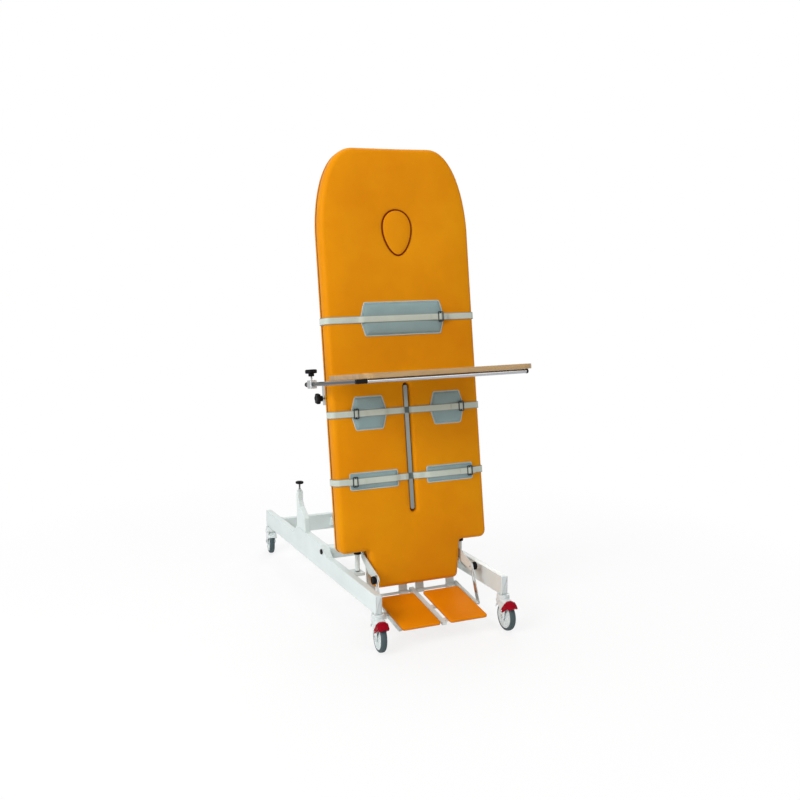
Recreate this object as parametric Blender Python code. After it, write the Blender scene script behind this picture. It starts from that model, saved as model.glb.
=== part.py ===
"""Tilt table, standing nearly upright on its castors.

Metres, +Z up, +X to the patient's left as seen from the front, front face looking towards -Y.
Base pieces are placed from the point on the floor under the middle of the mattress's foot end.
Everything on the bed is placed from the tilt axis, in a frame that leans back with the bed:
+Y runs out of the bed's back and +Z runs up along the bed.
"""

from math import atan2, cos, hypot, pi, radians, sin, sqrt

import bmesh
import bpy
from mathutils import Vector

# Clearances
CLEAR = 0.0003
SOFT_CLEAR = 0.0006
RUN_CLEAR = 0.0006

# Bed position
LEAN = radians(8.8)
FOOT_HEIGHT = 0.168
PIVOT_Y = 0.300
PIVOT_Z = 0.343

# Mattress
MATTRESS_WIDTH = 0.700
MATTRESS_LENGTH = 1.887
MATTRESS_THICKNESS = 0.065
MATTRESS_EDGE = 0.020
MATTRESS_BACK_EDGE = 0.010
MATTRESS_CROWN = 0.005
RIM_INSETS = (0.0, 0.004, 0.010, 0.020)
CROWN_SHARES = (0.14, 0.24, 0.36)
SPINE_FOOT = 0.250
SPINE_HEAD = 1.550
TONGUE_LENGTH = 0.164
TONGUE_TOP_WIDTH = 0.434
TONGUE_FOOT_WIDTH = 0.394
TONGUE_CORNER = 0.022
SHOULDER_CORNER = 0.030
HEAD_CURVE_LENGTH = 0.357
HEAD_TOP_WIDTH = 0.360

# Face hole and its plug
FACE_HOLE_WIDTH = 0.134
FACE_HOLE_HEIGHT = 0.196
FACE_HOLE_CENTRE = 1.521
EGG_SHIFT = 0.30
PLUG_DOME = 0.004

# Leg strap slot and bar
SLOT_WIDTH = 0.034
SLOT_FOOT = 0.312
SLOT_HEAD = 0.875
BAR_WIDTH = 0.021
BAR_THICKNESS = 0.005
BAR_DEPTH = 0.018
BAR_END_GAP = 0.010

# Straps and pads
WEBBING_WIDTH = 0.030
WEBBING_THICKNESS = 0.002
PAD_THICKNESS = 0.012
CHEST_STRAP_HEIGHT = 1.152
CHEST_PAD_WIDTH = 0.394
CHEST_PAD_HEIGHT = 0.142
THIGH_STRAP_HEIGHT = 0.755
THIGH_PAD_WIDTH = 0.164
THIGH_PAD_HEIGHT = 0.140
THIGH_PAD_CENTRE = 0.185
ANKLE_STRAP_HEIGHT = 0.468
ANKLE_PAD_WIDTH = 0.220
ANKLE_PAD_HEIGHT = 0.070
ANKLE_PAD_CENTRE = 0.180
PAD_POINT = 0.020

# Bed frame
BOARD_THICKNESS = 0.015
BOARD_INSET = 0.012
RAIL_WIDTH = 0.030
RAIL_DEPTH = 0.040
RAIL_CENTRE = 0.280
RAIL_HEAD = 1.720
UPPER_TUBE_HEIGHT = 1.560
TUBE_WIDTH = 0.040
PIVOT_TUBE_RISE = 0.020
PIVOT_ARM_CENTRE = 0.177
PIVOT_ARM_THICKNESS = 0.010
PIVOT_ARM_RADIUS = 0.028
SHAFT_RADIUS = 0.0125
SHAFT_HEAD = 0.008

# Base
BASE_WIDTH = 0.612
BEAM_WIDTH = 0.030
BEAM_HEIGHT = 0.080
BASE_FRONT = -0.232
BASE_REAR = 1.222
REAR_CROSS_Y = 1.040
CROSS_WIDTH = 0.030
SADDLE_FRONT = 0.330
SADDLE_REAR = 0.790
SADDLE_HEIGHT = 0.040
MID_CROSS_Y = 0.385
MID_CROSS_WIDTH = 0.060
MID_CROSS_HEIGHT = 0.050
UPRIGHT_CENTRE = 0.191
UPRIGHT_THICKNESS = 0.010
UPRIGHT_RADIUS = 0.030
BOLT_CAP_RADIUS = 0.012
BOLT_CAP_HEIGHT = 0.006
POST_WIDTH = 0.025
POST_DEPTH = 0.024
POST_Y = 0.725
POST_TOP = 0.448
POST_FOOT_LENGTH = 0.122
POST_WAIST_RISE = 0.131
POST_FLARE_RISE = 0.107
POST_BELLY_RISE = 0.085
POST_TOE_RISE = 0.064
REAR_BUFFER_RADIUS = 0.019
REAR_BUFFER_HEIGHT = 0.010
STUD_RADIUS = 0.004
LEDGE_X = 0.248
LEDGE_Y = 0.100
LEDGE_REACH = 0.050
LEDGE_LENGTH = 0.065
LEDGE_THICKNESS = 0.012
FRONT_BUFFER_RADIUS = 0.016
FRONT_BUFFER_HEIGHT = 0.011
FRONT_ROD_RADIUS = 0.009

# Castors
CASTOR_HEIGHT = 0.150
FRONT_CASTOR_Y = -0.222
REAR_CASTOR_Y = 1.187
CASTOR_TRAIL = 0.032
WHEEL_RADIUS = 0.0625
TYRE_DEPTH = 0.0115
TYRE_WIDTH = 0.025
HUB_WIDTH = 0.031
AXLE_RADIUS = 0.006
FORK_LEG = 0.005
FORK_GAP = 0.033
SWIVEL_RADIUS = 0.0275
CROWN_GAP = 0.003
PEDAL_GAP = 0.0045
PEDAL_THICKNESS = 0.007
PEDAL_SWEEP = 36
PEDAL_LIFT = 30
PEDAL_LIP = 0.009
PEDAL_PIVOT_RISE = 0.026
PEDAL_PIN_RADIUS = 0.004
PEDAL_BOSS_RADIUS = 0.0085

# Work table
TRAY_HEIGHT = 0.891
TRAY_TUBE_RADIUS = 0.009
BOARD_TOP_WIDTH = 0.760
BOARD_TOP_FRONT = 0.450
BOARD_TOP_REAR = 0.030
BOARD_TOP_THICKNESS = 0.021
BOARD_TOP_CORNER = 0.050
ARM_X = -0.400
ARM_REAR = -0.156
FRONT_RAIL_REACH = 0.430
FRONT_RAIL_END = 0.348
CORNER_LENGTH = 0.048
SIDE_RAIL_X = -0.330
SIDE_RAIL_THICKNESS = 0.010
SIDE_RAIL_WIDTH = 0.025
SIDE_RAIL_FOOT = 0.620
SIDE_RAIL_HEAD = 1.360
SIDE_RAIL_INSET = 0.027
CLAMP_DROP = 0.063
CLAMP_HALF = 0.030
CLAMP_WALL = 0.010
ARM_BLOCK_WIDTH = 0.028
ARM_BLOCK_LENGTH = 0.045
ARM_BLOCK_HEIGHT = 0.036
ARM_BLOCK_REACH = -0.090
KNOB_RADIUS = 0.026
KNOB_THICKNESS = 0.018
KNOB_HUB_RADIUS = 0.012
KNOB_SCREW_RADIUS = 0.004
KNOB_HUB_LENGTH = 0.012

# Foot rest
HINGE_BACK = 0.088
HINGE_DROP = 0.046
FOOT_ANGLE = radians(17.5)
FOOT_PLATE_WIDTH = 0.174
FOOT_PLATE_GAP = 0.044
FOOT_PLATE_LENGTH = 0.278
FOOT_PLATE_THICKNESS = 0.014
FOOT_PLATE_CORNER = 0.014
FOOT_PLATE_REAR = 0.064
HINGE_ROD_RADIUS = 0.006
STEM_WIDTH = 0.038
STEM_THICKNESS = 0.008
INNER_STEM_X = 0.040
OUTER_STEM_X = 0.190
FOOT_ARM_WIDTH = 0.013
FOOT_ARM_DEPTH = 0.010
SIDE_ARM_X = 0.178
SIDE_ARM_WIDTH = 0.015
SIDE_ARM_DEPTH = 0.025
SIDE_ARM_REAR = 0.034
SIDE_ARM_REACH = 0.298
BRACKET_X = 0.2185
BRACKET_THICKNESS = 0.005
KNOB_FORWARD = 0.067
KNOB_RISE = 0.055
FOOT_KNOB_RADIUS = 0.018
FOOT_KNOB_HUB = 0.003
FOOT_KNOB_THICKNESS = 0.014
FOOT_STUD_RADIUS = 0.003
FOOT_STUD_TAIL = 0.004
STRUT_WIDTH = 0.023
STRUT_THICKNESS = 0.004
STRUT_PIN_REACH = 0.200
STRUT_PIN_RADIUS = 0.004
STRUT_SLOT_WIDTH = 0.0125
STRUT_SLOT_LENGTH = 0.062

# Actuator
ACTUATOR_PIN_Y = 0.998
ACTUATOR_PIN_Z = 0.188
LUG_BACK = 0.060
LUG_RISE = 0.080
LUG_RADIUS = 0.040
LUG_THICKNESS = 0.008
EYE_RADIUS = 0.014
EYE_WIDTH = 0.030
ACTUATOR_TUBE_RADIUS = 0.025
ACTUATOR_TUBE_LENGTH = 0.500
ACTUATOR_ROD_RADIUS = 0.011
ACTUATOR_OVERLAP = 0.050
ACTUATOR_TRAVEL = 0.150
MOTOR_RADIUS = 0.032
MOTOR_LENGTH = 0.170

# Derived planes of the leaning bed frame, measured from the tilt axis
FACE_Y = -PIVOT_Y * cos(LEAN) + (PIVOT_Z - FOOT_HEIGHT) * sin(LEAN)
FOOT_Z = -PIVOT_Y * sin(LEAN) - (PIVOT_Z - FOOT_HEIGHT) * cos(LEAN)
BACK_Y = FACE_Y + MATTRESS_THICKNESS
BOARD_FRONT_Y = BACK_Y + CLEAR
BOARD_BACK_Y = BOARD_FRONT_Y + BOARD_THICKNESS
RAIL_FRONT_Y = BOARD_BACK_Y + CLEAR
RAIL_BACK_Y = RAIL_FRONT_Y + RAIL_DEPTH
SHOULDER_Z = FOOT_Z + TONGUE_LENGTH
HALF_WIDTH = MATTRESS_WIDTH / 2
BEAM_TOP = CASTOR_HEIGHT + BEAM_HEIGHT
BEAM_OUTER = BASE_WIDTH / 2
BEAM_INNER = BEAM_OUTER - BEAM_WIDTH
BEAM_CENTRE = BEAM_OUTER - BEAM_WIDTH / 2
SADDLE_TOP = BEAM_TOP + SADDLE_HEIGHT

ROUND = 24
ROUND_PROFILE = 0.5
SMALL_ROUND = 16
WHEEL_ROUND = 28


# Scene helpers

def clear_scene():
    for old in list(bpy.data.objects):
        bpy.data.objects.remove(old, do_unlink=True)


def material(name, colour, roughness, metallic=0.0):
    mat = bpy.data.materials.new(name)
    mat.use_nodes = True
    shader = mat.node_tree.nodes["Principled BSDF"]
    shader.inputs["Base Color"].default_value = (*colour, 1.0)
    shader.inputs["Roughness"].default_value = roughness
    shader.inputs["Metallic"].default_value = metallic
    mat.diffuse_color = (*colour, 1.0)
    return mat


def empty(name, parent, location=(0, 0, 0), turn_x=0.0, turn_z=0.0):
    guide = bpy.data.objects.new(name, None)
    bpy.context.collection.objects.link(guide)
    guide.parent = parent
    guide.location = location
    guide.rotation_euler = (turn_x, 0, turn_z)
    return guide


def piece(name, bm, mat, parent, location=(0, 0, 0), smooth=True, adds=(), cuts=()):
    """One named object from a mesh, with solids added to it and cut from it."""
    obj = link_mesh(name, bm)
    tools = []
    for operation, solids in (("UNION", adds), ("DIFFERENCE", cuts)):
        for solid in solids:
            tool = link_mesh(name + "_tool", solid)
            change = obj.modifiers.new(operation.lower(), "BOOLEAN")
            change.operation = operation
            change.object = tool
            tools.append(tool)
    if tools:
        view = bpy.context.evaluated_depsgraph_get()
        plain = obj.data
        obj.data = bpy.data.meshes.new_from_object(obj.evaluated_get(view))
        obj.data.name = name
        obj.modifiers.clear()
        bpy.data.meshes.remove(plain)
        for tool in tools:
            bpy.data.objects.remove(tool, do_unlink=True)
    obj.data.materials.clear()
    obj.data.materials.append(mat)
    if smooth:
        obj.data.shade_smooth()
        obj.data.set_sharp_from_angle(angle=radians(35))
    obj.parent = parent
    obj.location = location
    return obj


def link_mesh(name, bm):
    bmesh.ops.recalc_face_normals(bm, faces=bm.faces)
    mesh = bpy.data.meshes.new(name)
    bm.to_mesh(mesh)
    bm.free()
    obj = bpy.data.objects.new(name, mesh)
    bpy.context.collection.objects.link(obj)
    return obj


# Shape helpers: each returns a new bmesh

def axis_point(axis, along, first, second):
    """A point at a distance along an axis, with the other two coordinates in X, Y, Z order."""
    if axis == "x":
        return (along, first, second)
    if axis == "y":
        return (first, along, second)
    return (first, second, along)


def prism(axis, outline, low, high, edge=0.0, segments=1):
    """An outline of point pairs, extruded along an axis, with its rim edges rounded."""
    bm = bmesh.new()
    lower = [bm.verts.new(axis_point(axis, low, a, b)) for a, b in outline]
    face = bm.faces.new(lower)
    extruded = bmesh.ops.extrude_face_region(bm, geom=[face])["geom"]
    upper = [item for item in extruded if isinstance(item, bmesh.types.BMVert)]
    bmesh.ops.translate(bm, verts=upper, vec=Vector(axis_point(axis, high - low, 0, 0)))
    bmesh.ops.recalc_face_normals(bm, faces=bm.faces)
    if edge:
        rims = [e for e in bm.edges if any(len(f.verts) == len(outline) for f in e.link_faces)]
        soften(bm, rims, edge, segments)
    return bm


def soften(bm, edges, width, segments):
    bmesh.ops.bevel(bm, geom=edges, offset=width, segments=segments, profile=ROUND_PROFILE,
                    affect="EDGES", clamp_overlap=True)


def box(low, high, edge=0.0, segments=1):
    corners = [(low[0], low[1]), (high[0], low[1]), (high[0], high[1]), (low[0], high[1])]
    bm = prism("z", corners, low[2], high[2])
    if edge:
        soften(bm, list(bm.edges), edge, segments)
    return bm


def circle(radius, count, centre=(0, 0), start=0.0, turn=2 * pi):
    steps = count if turn == 2 * pi else count - 1
    return [(centre[0] + radius * cos(start + turn * i / steps),
             centre[1] + radius * sin(start + turn * i / steps)) for i in range(count)]


def rod(axis, radius, low, high, centre=(0, 0), count=SMALL_ROUND, edge=0.0):
    return prism(axis, circle(radius, count, centre), low, high, edge)


def turned(axis, profile, count, centre=(0, 0), lobes=0, depth=0.0):
    """Rings through (radius, height) points; lobes wave the rings where depth is not zero.

    An open profile starts and ends on the axis and gets a pole there, and any other profile
    closes on itself as a ring.
    """
    bm = bmesh.new()
    rings = []
    poles = profile[0][0] == 0
    for radius, height in profile:
        if radius == 0:
            rings.append([bm.verts.new(axis_point(axis, height, *centre))])
            continue
        ring = []
        for i in range(count):
            angle = 2 * pi * (i + 0.5) / count
            wave = radius * (1 + depth * (cos(lobes * angle) - 1)) if lobes else radius
            first = centre[0] + wave * sin(angle)
            second = centre[1] - wave * cos(angle)
            ring.append(bm.verts.new(axis_point(axis, height, first, second)))
        rings.append(ring)
    pairs = list(zip(rings, rings[1:]))
    if not poles:
        pairs.append((rings[-1], rings[0]))
    for lower, upper in pairs:
        for i in range(count):
            j = (i + 1) % count
            if len(lower) == 1:
                bm.faces.new((lower[0], upper[i], upper[j]))
            elif len(upper) == 1:
                bm.faces.new((lower[i], lower[j], upper[0]))
            else:
                bm.faces.new((lower[i], lower[j], upper[j], upper[i]))
    return bm


def rounded_rectangle(low, high, radius, steps=5):
    """Corner points of a rectangle in a plane, with each corner as an arc."""
    outline = []
    corners = ((high[0], high[1], 0), (low[0], high[1], 1), (low[0], low[1], 2), (high[0], low[1], 3))
    for x, y, quarter in corners:
        centre = (x - radius if x == high[0] else x + radius, y - radius if y == high[1] else y + radius)
        outline += circle(radius, steps, centre, quarter * pi / 2, pi / 2)
    return outline


def tapered_link(end, end_radius, base, base_half, count=9):
    """Outline of a plate that narrows from a straight base to a round end."""
    heading = Vector((end[0] - base[0], end[1] - base[1])).normalized()
    across = Vector((-heading.y, heading.x))
    angle = atan2(-across.y, -across.x)
    outline = circle(end_radius, count, end, angle, pi)
    outline.append(tuple(Vector(base) + across * base_half))
    outline.append(tuple(Vector(base) - across * base_half))
    return outline


# Outlines of the upholstery

def bezier(points, u):
    a, b, c, d = points
    v = 1 - u
    return tuple(v ** 3 * a[k] + 3 * v * v * u * b[k] + 3 * v * u * u * c[k] + u ** 3 * d[k] for k in (0, 1))


def half_outline(head_steps=8):
    """Right half of the mattress outline, from the middle of the foot edge to the head, as (x, s)."""
    foot = TONGUE_FOOT_WIDTH / 2
    top = TONGUE_TOP_WIDTH / 2
    corner = SHOULDER_CORNER
    points = circle(TONGUE_CORNER, 4, (foot - TONGUE_CORNER, TONGUE_CORNER), -pi / 2, pi / 2)
    points.append((top, TONGUE_LENGTH - 0.010))
    points.append((top + 0.008, TONGUE_LENGTH))
    points += circle(corner, 5, (HALF_WIDTH - corner, TONGUE_LENGTH + corner), -pi / 2, pi / 2)
    start = MATTRESS_LENGTH - HEAD_CURVE_LENGTH
    handles = ((HALF_WIDTH, start),
               (HALF_WIDTH - 0.005, start + 0.53 * HEAD_CURVE_LENGTH),
               (HEAD_TOP_WIDTH / 2 + 0.105, MATTRESS_LENGTH - 0.002),
               (HEAD_TOP_WIDTH / 2, MATTRESS_LENGTH))
    points += [bezier(handles, i / head_steps) for i in range(head_steps + 1)]
    return points


def whole_outline(inset=0.0):
    """Closed mattress outline, counter-clockwise, moved inwards by an inset."""
    right = half_outline()
    loop = right + [(-x, s) for x, s in reversed(right)]
    if not inset:
        return loop
    moved = []
    for i, point in enumerate(loop):
        before = Vector(point) - Vector(loop[i - 1])
        after = Vector(loop[(i + 1) % len(loop)]) - Vector(point)
        normals = [Vector((-edge.y, edge.x)).normalized() for edge in (before, after)]
        middle = (normals[0] + normals[1]).normalized()
        moved.append(tuple(Vector(point) + middle * inset / max(middle.dot(normals[0]), 0.5)))
    return moved


def surface_drop(distance):
    """How far the cushion's face lies behind its crown at a distance from the outline."""
    if distance < MATTRESS_EDGE:
        rise = MATTRESS_EDGE - distance
        return MATTRESS_CROWN + MATTRESS_EDGE - sqrt(MATTRESS_EDGE ** 2 - rise ** 2)
    flat = CROWN_SHARES[-1] * HALF_WIDTH
    share = max(0.0, (flat - distance) / (flat - MATTRESS_EDGE))
    return MATTRESS_CROWN * share ** 2


def egg(scale=0.0, count=28):
    """Outline of the face hole, wider at the top, moved inwards by a distance."""
    half_width = FACE_HOLE_WIDTH / 2 - scale
    half_height = FACE_HOLE_HEIGHT / 2 - scale
    points = []
    for i in range(count):
        angle = 2 * pi * i / count
        widen = 1 + EGG_SHIFT * sin(angle)
        points.append((half_width * cos(angle) * widen, FACE_HOLE_CENTRE + half_height * sin(angle)))
    return points


def raised(outline):
    """Outline given up the mattress, moved to heights above the tilt axis."""
    return [(x, s + FOOT_Z) for x, s in outline]


# Upholstered pieces

def cushion():
    """Mattress whose rounded rim rises to a softly crowned face, as rings drawn in from its outline."""
    rings = [[(x, s, BACK_Y) for x, s in whole_outline(MATTRESS_BACK_EDGE * 0.8)]]
    rings.append([(x, s, BACK_Y - MATTRESS_BACK_EDGE) for x, s in whole_outline()])
    for inset in RIM_INSETS:
        level = FACE_Y + surface_drop(inset)
        rings.append([(x, s, level) for x, s in whole_outline(inset)])
    for share in CROWN_SHARES:
        level = FACE_Y + surface_drop(share * HALF_WIDTH)
        rings.append([(*towards_spine(x, s, share), level) for x, s in whole_outline()])
    bm = bmesh.new()
    loops = [[bm.verts.new((x, y, FOOT_Z + s)) for x, s, y in ring] for ring in rings]
    for lower, upper in zip(loops, loops[1:]):
        for i in range(len(lower)):
            j = (i + 1) % len(lower)
            bm.faces.new((lower[i], lower[j], upper[j], upper[i]))
    bm.faces.new(list(reversed(loops[0])))
    bm.faces.new(loops[-1])
    return bm


def towards_spine(x, s, share):
    """A point of the outline, moved by a share of its way to the cushion's middle line."""
    middle = max(SPINE_FOOT, min(SPINE_HEAD, s))
    return (x * (1 - share), s + (middle - s) * share)


def plug():
    """Egg-shaped plug with a slightly domed face, filling the face hole."""
    bm = bmesh.new()
    steps = ((SOFT_CLEAR, 0.006), (0.003, 0.0035), (0.009, 0.0015), (0.030, 0.0))
    rings = []
    back = [bm.verts.new((x, BACK_Y, z)) for x, z in raised(egg(SOFT_CLEAR))]
    for inset, drop in steps:
        level = FACE_Y + drop + 0.002
        rings.append([bm.verts.new((x, level, z)) for x, z in raised(egg(inset))])
    chain = [back] + rings
    for lower, upper in zip(chain, chain[1:]):
        for i in range(len(lower)):
            j = (i + 1) % len(lower)
            bm.faces.new((lower[i], lower[j], upper[j], upper[i]))
    bm.faces.new(list(reversed(back)))
    centre = bm.verts.new((0, FACE_Y + 0.002 - PLUG_DOME / 2, FOOT_Z + FACE_HOLE_CENTRE))
    for i in range(len(rings[-1])):
        bm.faces.new((rings[-1][i], rings[-1][(i + 1) % len(rings[-1])], centre))
    return bm


def strap_path(offset, inner_x):
    """Points over the right half of the bed's face and down its side, at an offset from the cushion."""
    insets = [share * HALF_WIDTH for share in reversed(CROWN_SHARES)] + [MATTRESS_EDGE]
    points = [(inner_x, FACE_Y - offset)]
    for inset in insets:
        points.append((HALF_WIDTH - inset, FACE_Y + surface_drop(inset) - offset))
    centre = (HALF_WIDTH - MATTRESS_EDGE, FACE_Y + MATTRESS_CROWN + MATTRESS_EDGE)
    for i in range(1, 6):
        angle = pi / 2 * i / 5
        reach = MATTRESS_EDGE + offset
        points.append((centre[0] + reach * sin(angle), centre[1] - reach * cos(angle)))
    points.append((HALF_WIDTH + offset, BACK_Y - MATTRESS_BACK_EDGE))
    return points


def webbing(inner_x, height, mirrored, tail):
    """A band from near the bed's middle round its side; a tail turns down into the leg slot."""
    near = SOFT_CLEAR
    far = SOFT_CLEAR + WEBBING_THICKNESS
    inner = strap_path(near, inner_x)
    outer = strap_path(far, inner_x)
    if tail:
        lower_y = FACE_Y + BAR_DEPTH + BAR_THICKNESS + 0.006
        inner = [(inner_x, lower_y)] + inner
        outer = [(inner_x - WEBBING_THICKNESS, lower_y), (inner_x - WEBBING_THICKNESS, outer[0][1])] + outer
    outline = inner + list(reversed(outer))
    low = FOOT_Z + height - WEBBING_WIDTH / 2
    if mirrored:
        outline = [(-x, y) for x, y in outline]
    return prism("z", outline, low, low + WEBBING_WIDTH)


def chest_band(height):
    """One band over the whole width of the bed and down both sides."""
    sides = []
    for offset in (SOFT_CLEAR, SOFT_CLEAR + WEBBING_THICKNESS):
        right = strap_path(offset, 0.0)
        left = [(-x, y) for x, y in reversed(right[1:])]
        sides.append(left + right)
    outline = sides[0] + list(reversed(sides[1]))
    low = FOOT_Z + height - WEBBING_WIDTH / 2
    return prism("z", outline, low, low + WEBBING_WIDTH)


def pad(centre_x, width, height, middle, pointed):
    """Flat padded patch with rounded rims, six-sided where it is pointed."""
    half = width / 2
    tall = height / 2
    inner = half - (PAD_POINT if pointed else 0.0)
    if pointed:
        outline = [(half, 0), (inner, tall), (-inner, tall), (-half, 0), (-inner, -tall), (inner, -tall)]
    else:
        outline = rounded_rectangle((-half, -tall), (half, tall), 0.010, 3)
    outline = [(centre_x + x, FOOT_Z + middle + z) for x, z in outline]
    back = FACE_Y - SOFT_CLEAR - WEBBING_THICKNESS * 0.5
    return prism("y", outline, back - PAD_THICKNESS, back, PAD_THICKNESS * 0.35, 2)


# Groups of pieces

def build_base(root, paint, rubber, steel):
    cross_half = BEAM_INNER - CLEAR
    for name, side in (("left", -1), ("right", 1)):
        outer = side * BEAM_OUTER
        inner = side * BEAM_INNER
        low_x, high_x = sorted((outer, inner))
        beam = box((low_x, BASE_FRONT, CASTOR_HEIGHT), (high_x, BASE_REAR, BEAM_TOP), 0.003, 2)
        saddle_low = BEAM_TOP - 0.020
        saddle = prism("x", [(SADDLE_FRONT, saddle_low), (SADDLE_REAR, saddle_low),
                             (SADDLE_REAR - 0.05, SADDLE_TOP), (SADDLE_FRONT + 0.06, SADDLE_TOP),
                             (SADDLE_FRONT, BEAM_TOP)], low_x, high_x)
        ledge_x = side * (BEAM_INNER + 0.004)
        ledge_end = side * (BEAM_INNER - LEDGE_REACH)
        ledge_low, ledge_high = sorted((ledge_x, ledge_end))
        ledge = box((ledge_low, LEDGE_Y - LEDGE_LENGTH / 2, BEAM_TOP - LEDGE_THICKNESS - 0.003),
                    (ledge_high, LEDGE_Y + LEDGE_LENGTH / 2, BEAM_TOP - 0.003))
        rib = prism("y", [(ledge_x, CASTOR_HEIGHT + 0.015), (ledge_x, BEAM_TOP - 0.010),
                          (ledge_end + side * 0.008, BEAM_TOP - 0.010)],
                    LEDGE_Y - 0.004, LEDGE_Y + 0.004)
        piece("base_beam_" + name, beam, paint, root, adds=(saddle, ledge, rib))

        cap_y = outer + side * CLEAR
        cap_low, cap_high = sorted((cap_y, cap_y + side * BOLT_CAP_HEIGHT))
        cap = rod("x", BOLT_CAP_RADIUS, cap_low, cap_high,
                  (MID_CROSS_Y, SADDLE_TOP - MID_CROSS_HEIGHT / 2 - 0.004), ROUND, 0.0015)
        piece("cross_bolt_cap_" + name, cap, rubber, root)

        build_post(root, name, side, paint, rubber)
        build_front_stop(root, name, side, rubber)

    cross = box((-cross_half, REAR_CROSS_Y - CROSS_WIDTH / 2, CASTOR_HEIGHT),
                (cross_half, REAR_CROSS_Y + CROSS_WIDTH / 2, BEAM_TOP), 0.003, 2)
    ears = []
    for side in (-1, 1):
        near = side * (EYE_WIDTH / 2 + CLEAR)
        low_x, high_x = sorted((near, near + side * LUG_THICKNESS))
        outline = tapered_link((ACTUATOR_PIN_Y, ACTUATOR_PIN_Z), EYE_RADIUS,
                               (REAR_CROSS_Y, ACTUATOR_PIN_Z), 0.028)
        ears.append(prism("x", outline, low_x, high_x))
    pin_half = EYE_WIDTH / 2 + LUG_THICKNESS + 0.004
    pin = rod("x", SHAFT_RADIUS / 2, -pin_half, pin_half, (ACTUATOR_PIN_Y, ACTUATOR_PIN_Z))
    piece("rear_cross_member", cross, paint, root, adds=ears + [pin])

    mid_top = SADDLE_TOP - 0.008
    mid = box((-cross_half, MID_CROSS_Y - MID_CROSS_WIDTH / 2, mid_top - MID_CROSS_HEIGHT),
              (cross_half, MID_CROSS_Y + MID_CROSS_WIDTH / 2, mid_top), 0.003, 2)
    uprights = []
    bores = []
    for side in (-1, 1):
        near = side * UPRIGHT_CENTRE - UPRIGHT_THICKNESS / 2
        outline = tapered_link((PIVOT_Y, PIVOT_Z), UPRIGHT_RADIUS, (MID_CROSS_Y, mid_top - 0.025), 0.032, 13)
        uprights.append(prism("x", outline, near, near + UPRIGHT_THICKNESS))
    shaft_bore = SHAFT_RADIUS + RUN_CLEAR
    bores.append(rod("x", shaft_bore, -BEAM_INNER, BEAM_INNER, (PIVOT_Y, PIVOT_Z), ROUND))
    piece("mid_cross_member", mid, paint, root, adds=uprights, cuts=bores)

    face = UPRIGHT_CENTRE + UPRIGHT_THICKNESS / 2 + CLEAR
    head = SHAFT_RADIUS + 0.007
    profile = [(0, -face - SHAFT_HEAD), (head, -face - SHAFT_HEAD), (head, -face), (SHAFT_RADIUS, -face),
               (SHAFT_RADIUS, face), (head, face), (head, face + SHAFT_HEAD), (0, face + SHAFT_HEAD)]
    piece("tilt_shaft", turned("x", profile, ROUND, (PIVOT_Y, PIVOT_Z)), steel, root)


def build_post(root, name, side, paint, rubber):
    """Tapered rear post with its levelled rubber rest for the lowered bed."""
    foot = SADDLE_TOP + CLEAR
    rear = POST_Y + POST_DEPTH / 2
    front = POST_Y - POST_DEPTH / 2
    toe = rear - POST_FOOT_LENGTH
    outline = [(rear, foot), (rear, POST_TOP), (front, POST_TOP), (front - 0.002, foot + POST_WAIST_RISE),
               (front - 0.020, foot + POST_FLARE_RISE), (front - 0.060, foot + POST_BELLY_RISE),
               (toe + 0.010, foot + POST_TOE_RISE), (toe, foot)]
    centre = side * BEAM_CENTRE
    body = prism("x", outline, centre - POST_WIDTH / 2, centre + POST_WIDTH / 2, 0.002)
    piece("rear_post_" + name, body, paint, root)
    top = PIVOT_Z - RAIL_BACK_Y - CLEAR
    disc = top - REAR_BUFFER_HEIGHT
    profile = [(0, POST_TOP + CLEAR), (2 * STUD_RADIUS, POST_TOP + CLEAR), (2 * STUD_RADIUS, POST_TOP + 0.007),
               (STUD_RADIUS, POST_TOP + 0.008), (STUD_RADIUS, disc), (REAR_BUFFER_RADIUS - 0.002, disc),
               (REAR_BUFFER_RADIUS, disc + 0.003), (REAR_BUFFER_RADIUS, top - 0.002),
               (REAR_BUFFER_RADIUS - 0.003, top), (0, top)]
    piece("rear_buffer_" + name, turned("z", profile, ROUND, (centre, POST_Y)), rubber, root)


def build_front_stop(root, name, side, rubber):
    """Rubber stop under the bed frame's lower end; its top clears the leaning tube by its rear rim."""
    rear = LEDGE_Y + FRONT_BUFFER_RADIUS - PIVOT_Y
    under = PIVOT_Z + (SHOULDER_Z - rear * sin(LEAN)) / cos(LEAN)
    top = under - CLEAR
    low = BEAM_TOP - 0.003 + CLEAR
    neck = top - FRONT_BUFFER_HEIGHT
    profile = [(0, low), (FRONT_ROD_RADIUS, low), (FRONT_ROD_RADIUS, neck), (FRONT_BUFFER_RADIUS, neck),
               (FRONT_BUFFER_RADIUS, top - 0.003), (FRONT_BUFFER_RADIUS - 0.003, top), (0, top)]
    piece("front_buffer_" + name, turned("z", profile, ROUND, (side * LEDGE_X, LEDGE_Y)), rubber, root)


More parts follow.
